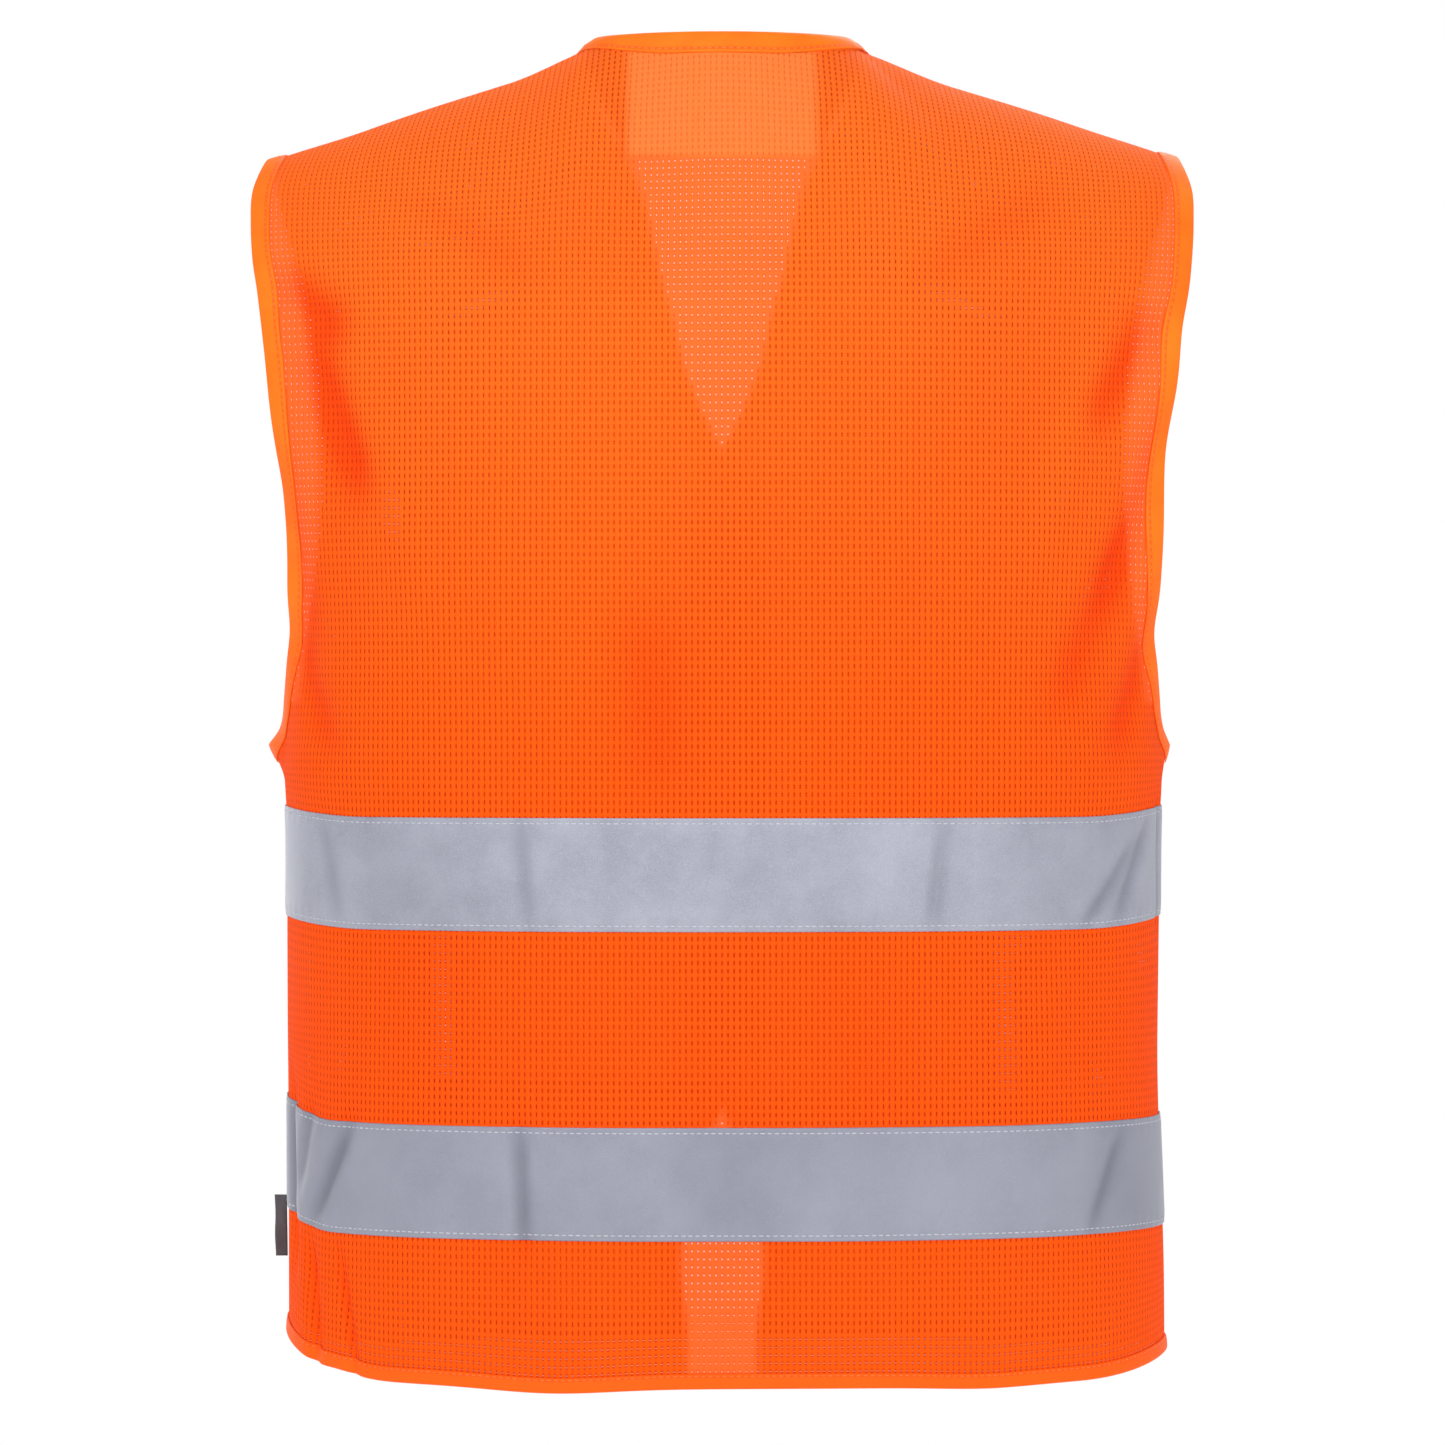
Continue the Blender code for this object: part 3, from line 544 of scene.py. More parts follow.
def knit_lines(low_s, high_s, top_t, bands, lattice):
    """The lines of the knit's lattice, and which gaps between them hold a hole.

    Each hole has one line at each of its four sides. Under a tape or a binding the cloth
    is left whole, and the lines there are farther apart.
    """
    wale, course, phase = lattice
    first, last = math.ceil(low_s / wale - phase), math.floor(high_s / wale - phase)
    centres = (np.arange(first, last + 1) + phase) * wale
    half_s = HOLE[0] * wale / 2
    s = np.stack([centres - half_s, centres + half_s], axis=1).ravel()
    first, last = math.ceil((HEM_Z - EYE_Z) / course), int((top_t - EYE_Z) / course)
    rows = EYE_Z + course * (np.arange(first, last) + phase)
    for low, high in bands:
        rows = rows[(rows < low - 0.0002) | (rows > high + 0.0002)]
    half_t = HOLE[1] * course / 2 * (1 - 0.6 * smooth((-0.560 - rows) / 0.012))
    starts = rows - half_t
    lines = [starts, rows + half_t, [HEM_Z + 0.0004]]
    for low, high in bands:
        lines.append(np.linspace(low + 0.002, high - 0.002, max(2, int((high - low) / 0.006))))
    t = np.unique(np.round(np.concatenate(lines), 6))
    hole_row = np.isin(t[:-1], np.round(starts, 6))
    return s, t, hole_row


def knit(name, skin, place, low_edge, bands, lattice, side=1):
    """A cut piece of open knit, as its lattice of lines with each hole's square left out.

    Lines stop on a sewn seam, where the last one is drawn onto it, and just inside an edge
    that a binding covers. low_edge gives a front's near edge as s against t. Holes close a
    little towards the sides, where the cloth is stretched less.
    """
    neck = not skin.chest
    top = float(skin.seam_t.max()) + 0.004
    reach = float(skin.full.max()) + lattice[0]
    wale, course, phase = lattice
    s, t, hole_row = knit_lines(-reach if neck else -0.03, reach, top, bands, lattice)
    closing = HOLE_CLOSING / 2 * HOLE[0] * wale * smooth((np.abs(s) - 0.05) / 0.09)
    s = s + closing * np.where(np.arange(len(s)) % 2 == 0, 1, -1)
    s2, t2 = np.meshgrid(s, t)
    arm = skin.arm_at(t2)
    sewn_side = t2 <= UNDERARM_Z
    far = np.abs(s2) if neck else s2
    seam = skin.seam_at(s2)
    below = np.vstack([t2[:1] - 1, t2[:-1]])
    keep = below < seam - 1e-5
    if neck:
        nape = np.abs(s2) < skin.neck_s + 0.0008
        keep &= ~(nape & (t2 > skin.ridge_at(s2) - 0.0012))
    else:
        keep &= s2 > low_edge(t2) + 0.0012
    nearer = np.where(s2 < 0, np.roll(s2, -1, axis=1), np.roll(s2, 1, axis=1))
    keep &= np.where(sewn_side, np.abs(nearer) < arm - 1e-5, far < arm - 0.0012)
    s2 = np.where(sewn_side, np.sign(s2) * np.minimum(np.abs(s2), arm), s2)
    t2 = np.minimum(t2, seam)
    points = place(s2, t2).reshape(-1, 3)
    u, v = (s2 / wale - phase).ravel(), ((t2 - EYE_Z) / course - phase).ravel()
    cols = keep.shape[1]
    quads = grid_faces(*keep.shape, flip=neck or side < 0)
    held = keep.ravel()[quads]
    gap_r, gap_c = np.divmod(np.arange(len(quads)), cols - 1)
    mid_s, mid_t = s[gap_c] + HOLE[0] * wale / 2, t[gap_r] + HOLE[1] * course / 2
    off_arm = skin.arm_at(mid_t) - (np.abs(mid_s) if neck else mid_s)
    clear = (off_arm > np.where(mid_t <= UNDERARM_Z, 0.0045, 0.0060))
    clear &= mid_t < skin.seam_at(mid_s) - 0.0060
    clear &= mid_t > HEM_Z + 0.0035
    if neck:
        clear &= (np.abs(mid_s) > skin.neck_s + 0.006) | (mid_t < skin.ridge_at(mid_s) - 0.0065)
    else:
        clear &= mid_s > low_edge(mid_t) + 0.0060
    hole = hole_row[gap_r] & (gap_c % 2 == 0) & clear
    whole = held.all(axis=1) & ~hole
    three = (held.sum(axis=1) == 3) & ~hole
    corners = quads[three]
    order = np.argsort(~held[three], axis=1, kind="stable")
    # Keep the going round of the three corners that are left.
    order = np.sort(order[:, :3], axis=1)
    triangles = np.take_along_axis(corners, order, axis=1)
    lit_through, lined = (np.zeros(len(points)),) * 2 if skin.chest else layers_behind(points)
    # painted shade: the cloth's colour is darkened in its folds, by their depth, and towards the
    # side seams
    painted_shade = np.clip(-ripple(side * s2, t2, skin.chest) / 0.0042, 0, 1)
    painted_shade = np.maximum(painted_shade, 0.32 * smooth((np.abs(s2) - 0.165) / 0.085)).ravel()
    faces, points, u, v, lit_through, lined, painted_shade = used_only(
        [quads[whole], triangles], points, u, v, lit_through, lined, painted_shade)
    piece = mesh_piece(name, points, faces, KNIT, (u, v),
                       {"lit_through": lit_through, "lined": lined, "painted_shade": painted_shade})
    cells = held.all(axis=1)
    span = (s2.ravel()[quads].max(1) - s2.ravel()[quads].min(1)) * (
        t2.ravel()[quads].max(1) - t2.ravel()[quads].min(1))
    return piece, float(span[cells].sum())


# ---- strips, tapes and threads ----
def strip_section(width, half):
    """Section of a strip folded round an edge: (inward, off the cloth) going round it.

    Two legs with a sewn dip near their ends and a soft swell between, joined by a half
    circle; the strip's inner face runs back a cloth's thickness inside.
    """
    m = np.linspace(1.0, 0.0, 9)
    swell = half * (0.62 + 0.38 * np.sin(np.clip(1 - m, 0, 1) * math.pi / 2))
    swell = swell - 0.00028 * bell((m - 0.80) / 0.07)
    swell[0] = 0.00050
    outer = np.stack([m * width, swell], axis=1)
    bend = np.linspace(0, math.pi, 7)[1:-1]
    turn = np.stack([-half * np.sin(bend), half * np.cos(bend)], axis=1)
    back = outer[::-1] * [1, -1]
    inner_m = np.array([1.0, 0.5, 0.0])
    inner = np.stack([inner_m * width, [0.00016, half * 0.5, half * 0.6]], axis=1)
    lip = np.array([[-half * 0.55, 0.0]])
    return np.concatenate([outer, turn, back, inner * [1, -1], lip, inner[::-1]])


def folded_strip(name, place, s, t, inward, width, half, flip, seam):
    """A binding along the edge (s, t): its section carried along, lying on the cloth.

    inward is +1 or -1, the side of the edge on which the cloth is. If a seam is given, the
    strip's last end is cut along it: each line of the strip runs on, or stops short, by its
    distance from the edge times the seam's slant.
    """
    s, t = np.asarray(s, float), np.asarray(t, float)
    run = run_along(s, t)
    count = max(12, int(run[-1] / 0.0021))
    even = np.linspace(0, run[-1], count)
    s, t = np.interp(even, run, s), np.interp(even, run, t)
    ds, dt = np.gradient(s), np.gradient(t)
    size = np.hypot(ds, dt)
    ms, mt = -dt / size * inward, ds / size * inward
    section = strip_section(width, half)
    m, h = section[:, 0], section[:, 1]
    pull = 1 - 0.10 * np.cos(2 * math.pi * even / STITCH)[:, None] * bell((m / width - 0.78) / 0.2)
    s2 = s[:, None] + ms[:, None] * m
    t2 = t[:, None] + mt[:, None] * m
    if seam:
        step = ms[-1] * width
        slope = (seam(s[-1] + step) - seam(s[-1])) / step
        slant = (slope * ms[-1] - mt[-1]) * size[-1] / (dt[-1] - slope * ds[-1])
        near_end = smooth(1 - (run[-1] - even) / 0.024)[:, None]
        s2 = s2 + near_end * m * slant * ds[-1] / size[-1]
        t2 = t2 + near_end * m * slant * dt[-1] / size[-1]
    points = place(s2, t2, h * pull)
    turned_over = (inward < 0) != flip
    faces = grid_faces(count, len(m), wrap=True, flip=turned_over)
    caps = np.stack([np.arange(len(m)), (count - 1) * len(m) + np.arange(len(m))[::-1]])
    piece = mesh_piece(name, points, [faces, caps[:, ::-1] if turned_over else caps], TRIM,
                       (even[:, None] / STITCH, np.linspace(0, 2, len(m))))
    return piece, (float(run[-1]), 2 * width + math.pi * half), (s, t, ms, mt)


def tape_lift(v):
    """A tape's height off the cloth across its width, v from -1 to 1."""
    edge = 1 - 0.45 * np.abs(v) ** 14
    sewn = 0.00030 * (bell((v - 0.90) / 0.045) + bell((v + 0.90) / 0.045))
    return TAPE_LIFT * edge - sewn


def tape(name, place, skin, rows, start, end, flip, side):
    """A reflective tape between two lengths round the body, drawn in by its own stitches."""
    low, high = rows
    middle = 0.5 * (low + high)
    count = int((end(middle) - start(middle)) / 0.0019)
    u = np.linspace(0, 1, count)[None, :]
    v = np.concatenate([[-1, -0.975], np.linspace(-0.94, 0.94, 25), [0.975, 1]])[:, None]
    t = middle + 0.5 * (high - low) * v + 0 * u
    s = start(t) + (end(t) - start(t)) * u
    near = bell((np.abs(v) - 0.90) / 0.16)
    pucker = 0.00016 * near * np.sin(2 * math.pi * s / 0.0093 + 2.2 * np.sin(61 * s))
    wrinkle = 0.00022 * np.sin(240 * s + 30 * t + 3 * np.sin(43 * s)) * (1 - v * v)
    points = place(s, t, tape_lift(v) + pucker + wrinkle * smooth(np.sin(19 * s + 1) * 0.8))
    # painted shade: the tape's colour is darkened where the cloth under it creases in
    painted_shade = np.clip(-ripple(side * s, t, skin.chest) / 0.0030, 0, 1)
    piece = mesh_piece(name, points, [grid_faces(*s.shape, flip=flip)], SILVER,
                       (100 * s, 100 * t), {"painted_shade": painted_shade})
    return thicken(piece), (float(end(middle) - start(middle)), high - low)


def stitches(place, s, t, lift, flip, width=0.00062, rise=0.00020, share=0.76):
    """A row of stitches along a line on the cloth: points and faces.

    Each is a small mound: half an ellipse in plan, a round arch in section.
    """
    s, t = np.asarray(s, float), np.asarray(t, float)
    run = run_along(s, t)
    count = int(run[-1] / STITCH)
    centre = (np.arange(count) + 0.5) * STITCH
    a = np.linspace(-1, 1, 7)[None, :, None]
    b = np.linspace(-1, 1, 5)[None, None, :]
    at = centre[:, None, None] + a * STITCH * share / 2 + 0 * b
    ps, pt = np.interp(at, run, s), np.interp(at, run, t)
    ds = np.interp(at + 2e-4, run, s) - np.interp(at - 2e-4, run, s)
    dt = np.interp(at + 2e-4, run, t) - np.interp(at - 2e-4, run, t)
    size = np.maximum(np.hypot(ds, dt), 1e-9)
    slim = np.sqrt(np.maximum(1 - a ** 4, 0.0))
    off = b * width / 2 * slim
    arch = rise * slim * np.sqrt(np.maximum(1 - b * b, 0.0)) - 0.00004
    points = place(ps - dt / size * off, pt + ds / size * off, lift + arch)
    one = grid_faces(7, 5, flip=flip)
    faces = (one[None] + 35 * np.arange(count)[:, None, None]).reshape(-1, 4)
    return points.reshape(-1, 3), faces


def thread_piece(name, rows, finish):
    """All the stitch rows given, as one piece."""
    points, faces, start = [], [], 0
    for row_points, row_faces in rows:
        points.append(row_points)
        faces.append(row_faces + start)
        start += len(row_points)
    return mesh_piece(name, np.concatenate(points), [np.concatenate(faces)], finish)


# ---- finishes ----
class Finish:
    """A node material: each method adds a node or a few and gives back the last output."""

    def __init__(self, name):
        self.made = bpy.data.materials.new(name)
        self.made.use_nodes = True
        self.tree = self.made.node_tree
        self.shader = self.tree.nodes["Principled BSDF"]

    def node(self, kind, inputs, output=0, **settings):
        node = self.tree.nodes.new(kind)
        for key, value in settings.items():
            setattr(node, key, value)
        for key, value in inputs.items():
            self.give(node.inputs[key], value)
        return node.outputs[output]

    def give(self, socket, value):
        if isinstance(value, bpy.types.NodeSocket):
            self.tree.links.new(value, socket)
        else:
            socket.default_value = value

    def math(self, what, a, b=0.0):
        return self.node("ShaderNodeMath", {0: a, 1: b}, operation=what)

    def times(self, a, b):
        return self.math("MULTIPLY", a, b)

    def total(self, *parts):
        """A weighted sum of pairs, each a value and its weight."""
        amount = self.times(*parts[0])
        for part in parts[1:]:
            amount = self.math("ADD", amount, self.times(*part))
        return amount

    def layers(self, colour, *coats):
        """A colour mixed with each coat in turn, a coat being a share and a colour."""
        for share, other in coats:
            colour = self.node("ShaderNodeMix", {0: share, 6: colour, 7: other}, 2,
                               data_type="RGBA")
        return colour

    def noise(self, where, scale, detail=3.0, rough=0.55):
        return self.node("ShaderNodeTexNoise", {"Vector": where, "Scale": scale,
                                                "Detail": detail, "Roughness": rough})

    def spread(self, value, low=0.3, high=0.7, to_low=0.0, to_high=1.0):
        """The value's range from low to high, drawn onto another and held at its ends."""
        return self.node("ShaderNodeMapRange", {0: value, 1: low, 2: high, 3: to_low,
                                                4: to_high})

    def place(self):
        return self.node("ShaderNodeTexCoord", {}, 3)

    def level(self):
        """Height on the vest."""
        return self.node("ShaderNodeSeparateXYZ", {0: self.place()}, 2)

    def mark(self, name):
        return self.node("ShaderNodeAttribute", {}, 2, attribute_name=name)

    def weave(self):
        """The pattern's lengths, as a vector and as its two parts."""
        uv = self.node("ShaderNodeUVMap", {}, uv_map="weave")
        return uv, *(self.node("ShaderNodeSeparateXYZ", {0: uv}, part) for part in (0, 1))

    def wave(self, value, cycles, shift=0.0):
        """A cosine of the value, with so many cycles to each unit of it."""
        turn = self.times(value, 2 * math.pi * cycles)
        return self.math("COSINE", self.math("ADD", turn, shift))

    def bump(self, height, strength, distance):
        normal = self.node("ShaderNodeBump", {"Height": height, "Strength": strength,
                                              "Distance": distance})
        self.give(self.shader.inputs["Normal"], normal)
        return normal

    def set(self, **values):
        for key, value in values.items():
            self.give(self.shader.inputs[key.replace("_", " ")], value)

    def let_light_through(self, share, colour, normal):
        """Thin cloth: part of the light comes through from the far side, deeper in colour."""
        through = self.node("ShaderNodeBsdfTranslucent", {"Color": colour, "Normal": normal})
        both = self.node("ShaderNodeMixShader", {0: share, 1: self.shader.outputs[0],
                                                 2: through})
        self.tree.links.new(both, self.tree.nodes["Material Output"].inputs["Surface"])


def rgb(red, green, blue):
    return (red, green, blue, 1.0)


def knit_finish(name):
    """Fluorescent open knit: ribs between the columns of holes, bars between the rows, and a
    dimple round each hole with painted shade that fades to the sides and where light comes
    through.
    The colour also holds painted highlight on the ribs, painted shade in folds, at the sides
    and lower down, and painted light higher up and where light comes through a single layer."""
    f = Finish(name)
    uv, u, v = f.weave()
    slant = f.math("ABSOLUTE", f.math("SINE", f.times(u, 3 * math.pi)))
    loops = f.math("SINE", f.total((v, 12 * math.pi), (slant, 1.4)))
    height = f.total((f.wave(u, 1.0, math.pi), 0.55), (f.wave(v, 1.0, math.pi), 0.06),
                     (loops, 0.14))
    fine = f.noise(uv, 2.3, 2.0)
    shade = f.total((f.noise(f.place(), 9.0, 4.0), 0.7), (fine, 0.3))
    level, painted_shade, lit_through, lined = f.level(), f.mark("painted_shade"), f.mark("lit_through"), f.mark("lined")
    # painted shade round each hole, standing in for the shaded inside; it is also the hole's
    # dimple in the relief, and shows less to the sides and where light comes through
    across = f.math("DIVIDE", f.math("SUBTRACT", u, f.math("ROUND", u)), 0.125)
    upward = f.math("DIVIDE", f.math("SUBTRACT", v, f.math("ROUND", v)), 0.285)
    ring = f.math("SQRT", f.total((across, across), (upward, upward)))
    dimple_and_shade = f.spread(ring, 0.75, 1.35, 1.0, 0.0)
    fade = f.spread(f.math("ABSOLUTE", u), 66.0, 92.0, 0.0, 0.45)
    shown = f.math("SUBTRACT", 0.96, f.total((fade, 1.0), (lit_through, 0.66), (lined, 0.66)))
    colour = f.layers(
        rgb(0.95, 0.094, 0.0024),
        # painted highlight on the ribs and painted shade between them, by the relief's height
        (f.spread(height, -0.80, 0.50), rgb(1.0, 0.114, 0.0036)),
        (f.spread(shade, to_high=0.25), rgb(1.0, 0.145, 0.005)),
        # painted light: yellower towards the top, as if lit from above
        (f.spread(level, -0.30, -0.02, 0.0, 0.90), rgb(1.0, 0.172, 0.016)),
        # painted shade in the folds and towards the side seams
        (f.times(painted_shade, 0.80), rgb(0.88, 0.046, 0.0006)),
        # painted shade: redder towards the bottom
        (f.spread(level, -0.30, -0.50, 0.0, 0.55), rgb(0.98, 0.078, 0.0012)),
        # painted light: paler where light comes through a single layer
        (f.times(lit_through, 0.55), rgb(1.0, 0.170, 0.040)),
        (f.times(lined, 0.85), rgb(1.0, 0.262, 0.054)),
        # painted shade round the holes
        (f.times(dimple_and_shade, shown), rgb(0.33, 0.014, 0.0006)))
    f.set(Base_Color=colour, Roughness=f.spread(fine, to_low=0.70, to_high=0.86),
          Sheen_Weight=0.05, Sheen_Roughness=0.45, Sheen_Tint=rgb(1.0, 0.45, 0.15),
          Specular_IOR_Level=0.10)
    normal = f.bump(f.total((height, 1.0), (dimple_and_shade, -0.9)), 0.5, 0.00040)
    f.let_light_through(0.30, f.layers(colour, (0.4, rgb(1.0, 0.14, 0.010))), normal)
    return f.made


def trim_finish(name):
    """Binding: a close plain weave, yellower than the knit, with painted shade in its sewn dip and
    lower down.
    """
    f = Finish(name)
    _, u, v = f.weave()
    twill = f.math("SINE", f.total((u, 8 * math.pi), (v, 44 * math.pi)))
    fine = f.noise(f.place(), 900.0, 2.0)
    # distance from the sewn dip, where shade is painted
    dip = f.math("ABSOLUTE", f.math("SUBTRACT", v, SEWN_DIP))
    colour = f.layers(
        rgb(1.0, 0.135, 0.0045),
        (f.spread(f.noise(f.place(), 26.0, 4.0), 0.32, 0.68), rgb(1.0, 0.185, 0.0080)),
        (f.spread(twill, -1.0, 1.0, 0.14, 0.0), rgb(0.80, 0.075, 0.004)),
        # painted shade: redder towards the bottom
        (f.spread(f.level(), -0.20, -0.50, 0.0, 0.85), rgb(1.0, 0.094, 0.0020)),
        # painted shade in the sewn dip
        (f.spread(dip, 0.0, 0.055, 0.75, 0.0), rgb(0.84, 0.050, 0.003)))
    f.set(Base_Color=colour, Roughness=f.spread(fine, to_low=0.52, to_high=0.70),
          Sheen_Weight=0.04, Sheen_Roughness=0.4, Sheen_Tint=rgb(1.0, 0.5, 0.2),
          Specular_IOR_Level=0.12)
    f.bump(f.total((twill, 0.4), (f.wave(v, 30.0), 0.25), (fine, 0.6)), 0.35, 0.00025)
    return f.made


def reflective_finish(name):
    """Glass bead tape: a fine grain over a cloth ground, with faint rubbed patches, and painted
    shade in its creases and on the lower tape.
    """
    f = Finish(name)
    _, u, v = f.weave()
    grain = f.noise(f.place(), 2600.0, 2.0, 0.7)
    cloudy = f.noise(f.place(), 34.0, 5.0, 0.6)
    colour = f.layers(
        rgb(0.222, 0.230, 0.286),
        (f.spread(cloudy, 0.36, 0.66), rgb(0.290, 0.300, 0.364)),
        (f.spread(grain, 0.40, 0.70, 0.0, 0.50), rgb(0.44, 0.45, 0.51)),
        # painted shade: darker on the lower tape
        (f.spread(f.level(), -0.42, -0.48, 0.0, 0.5), rgb(0.190, 0.197, 0.250)),
        # painted shade in the tape's creases
        (f.times(f.mark("painted_shade"), 0.62), rgb(0.085, 0.090, 0.125)))
    gloss = f.total((cloudy, 1.0), (grain, 0.4))
    f.set(Base_Color=colour, Metallic=0.15, Roughness=f.spread(gloss, 0.4, 0.95, 0.34, 0.58),
          Specular_IOR_Level=0.5, Coat_Weight=0.08, Coat_Roughness=0.35)
    f.bump(f.total((grain, 1.0), (f.wave(u, 9.0), 0.10), (f.wave(v, 9.0), 0.10),
                   (cloudy, 0.8)), 0.28, 0.00022)
    return f.made


def lining_finish(name):
    """The neck facing: a close knit without holes, paler than the open knit."""
    f = Finish(name)
    _, u, v = f.weave()
    soft = f.noise(f.place(), 20.0, 3.0)
    height = f.total((f.wave(v, 1.0), 0.5), (f.wave(u, 2.0), 0.5))
    colour = f.layers(rgb(1.0, 0.165, 0.018), (f.spread(soft), rgb(1.0, 0.225, 0.032)),
                      (f.spread(height, -1.0, 1.0, 0.16, 0.0), rgb(0.8, 0.10, 0.006)))
    f.set(Base_Color=colour, Roughness=f.spread(soft, to_low=0.74, to_high=0.86),
          Sheen_Weight=0.2, Sheen_Roughness=0.5, Specular_IOR_Level=0.2)
    f.let_light_through(0.2, rgb(1.0, 0.17, 0.02), f.bump(height, 0.4, 0.0003))
    return f.made


def closure_finish(name, pile, base, high):
    """Touch tape: pile is how coarse its loops or hooks are, to the metre."""
    f = Finish(name)
    tufts = f.node("ShaderNodeTexVoronoi", {"Vector": f.place(), "Scale": pile})
    fuzz = f.noise(f.place(), pile * 2.2, 3.0)
    colour = f.layers(high, (f.spread(tufts, 0.1, 0.7), base),
                      (f.spread(f.noise(f.place(), 60.0, 4.0), to_high=0.3), base))
    f.set(Base_Color=colour, Roughness=f.spread(fuzz, to_low=0.72, to_high=0.92),
          Sheen_Weight=0.4, Sheen_Roughness=0.5, Specular_IOR_Level=0.2)
    f.bump(f.total((fuzz, 0.8), (tufts, -1.0)), 0.7, 0.0006)
    return f.made


def ribbon_finish(name):
    """Dark woven ribbon with a satin lie and slightly paler, worn folds."""
    f = Finish(name)
    weft = f.wave(f.level(), 2600.0)
    fine = f.noise(f.place(), 2400.0, 2.0)
    colour = f.layers(rgb(0.030, 0.027, 0.034),
                      (f.spread(f.noise(f.place(), 240.0, 4.0)), rgb(0.060, 0.055, 0.066)),
                      (f.spread(weft, -1.0, 1.0, 0.0, 0.35), rgb(0.10, 0.095, 0.11)))
    f.set(Base_Color=colour, Roughness=f.spread(fine, to_low=0.42, to_high=0.60),
          Sheen_Weight=0.1, Specular_IOR_Level=0.4)
    f.bump(f.math("ADD", weft, fine), 0.3, 0.00012)
    return f.made


def thread_finish(name, base, high):
    """Spun thread: short slanting plies and a soft gloss."""
    f = Finish(name)
    plies = f.node("ShaderNodeTexWave", {"Vector": f.place(), "Scale": 900.0,
                                         "Distortion": 1.5}, 1, bands_direction="DIAGONAL")
    fine = f.noise(f.place(), 3000.0, 2.0)
    f.set(Base_Color=f.layers(base, (f.spread(plies, 0.1, 0.9), high)),
          Roughness=f.spread(fine, to_low=0.42, to_high=0.62), Sheen_Weight=0.12,
          Specular_IOR_Level=0.4)
    f.bump(plies, 0.35, 0.00015)
    return f.made


def paper_finish(name, low, high):
    """Studio paper: nearly even, faintly cloudy, and fading to white far from its middle."""
    f = Finish(name)
    away = f.node("ShaderNodeVectorMath", {0: f.place()}, 1, operation="LENGTH")
    f.set(Base_Color=f.layers(low, (f.noise(f.place(), 0.6, 3.0), high)), Roughness=0.9,
          Specular_IOR_Level=0.1, Emission_Color=rgb(1, 1, 1),
          Emission_Strength=f.spread(away, 2.0, 5.2, 0.30, 0.85))
    return f.made


KNIT = knit_finish("open_knit")
TRIM = trim_finish("binding_weave")
SILVER = reflective_finish("reflective_tape")
LINING = lining_finish("neck_facing_knit")
LOOPS = closure_finish("loop_pile", 1500.0, rgb(0.80, 0.10, 0.008), rgb(1.0, 0.22, 0.03))
HOOKS = closure_finish("hook_bed", 900.0, rgb(0.62, 0.075, 0.006), rgb(0.98, 0.20, 0.03))
RIBBON = ribbon_finish("dark_ribbon")
GREY_THREAD = thread_finish("grey_thread", rgb(0.36, 0.37, 0.42), rgb(0.50, 0.51, 0.57))
ORANGE_THREAD = thread_finish("orange_thread", rgb(0.78, 0.085, 0.005), rgb(1.0, 0.20, 0.015))

pieces = []               # (object, body or what it is sewn to, slot, nodes it stands for)


def keep(piece, body, slot, *nodes):
    """Notes what a finished piece moves with, its slot, and the nodes it stands for."""
    pieces.append((piece, body, slot, nodes))


# ---- tapes and bindings on a panel ----
def reflective_bands(body, place, skin, bands, start, end, first, count, flip, side=1):
    """A panel's two tapes, and the rows of stitches that hold them.

    start and end give a tape's ends against t; its stitches begin at first from its start.
    """
    rows = []
    for name, (low, high) in zip(("upper", "lower"), bands):
        piece, flat = tape("%s_%s_reflective" % (body, name), place, skin, (low, high),
                           start, end, flip, side)
        keep(piece, body, "reflective_tape", "%s_%s_tape" % (body, name))
        for t in (low + TAPE_ROW, high - TAPE_ROW):
            s = np.linspace(start(t) + first, end(t) - CUT_END, count)
            rows.append(stitches(place, s, 0 * s + t, TAPE_LIFT - THREAD_SUNK, flip))
    keep(thread_piece(body + "_tape_stitching", rows, GREY_THREAD), body, "reflective_tape")


def bound(name, body, node, place, s, t, inward, width, flip, seam=None, half=0.00135,
          sewn=0.80):
    """A bound edge: its folded strip, and the row of stitches at a share of its width."""
    strip, flat, (s, t, ms, mt) = folded_strip(name, place, s, t, inward, width, half, flip,
                                               seam)
    keep(strip, body, "binding", node)
    inset = sewn * width
    return stitches(place, s + ms * inset, t + mt * inset, THREAD_ON_EDGE, flip, 0.00052,
                    0.00016, 0.70)


def armhole_line(skin, count):
    """t and s along an armhole's edge, from the side seam to the shoulder seam."""
    t = np.concatenate([np.linspace(UNDERARM_Z - 0.001, TURN_Z, 160),
                        np.linspace(TURN_Z, skin.seam_at(skin.arm_top), count)[1:]])
    return t, skin.arm_at(t)


# ---- the back ----
def nape_height(x, y):
    """Height of the cloth over the plan point (x, y) near the neck, by halving the turn."""
    low, high = np.zeros_like(x), np.full_like(x, 80.0)
    back = y >= 0

    def over(turn):
        return [np.where(back, behind, before) for behind, before in
                zip(turned(x, turn, BACK_CUT), turned(x, turn, FRONT_CUT))]

    for _ in range(40):
        turn = 0.5 * (low + high)
        past = over(turn)[0] > np.abs(y)
        high, low = np.where(past, turn, high), np.where(past, low, turn)
    return over(low)[1]


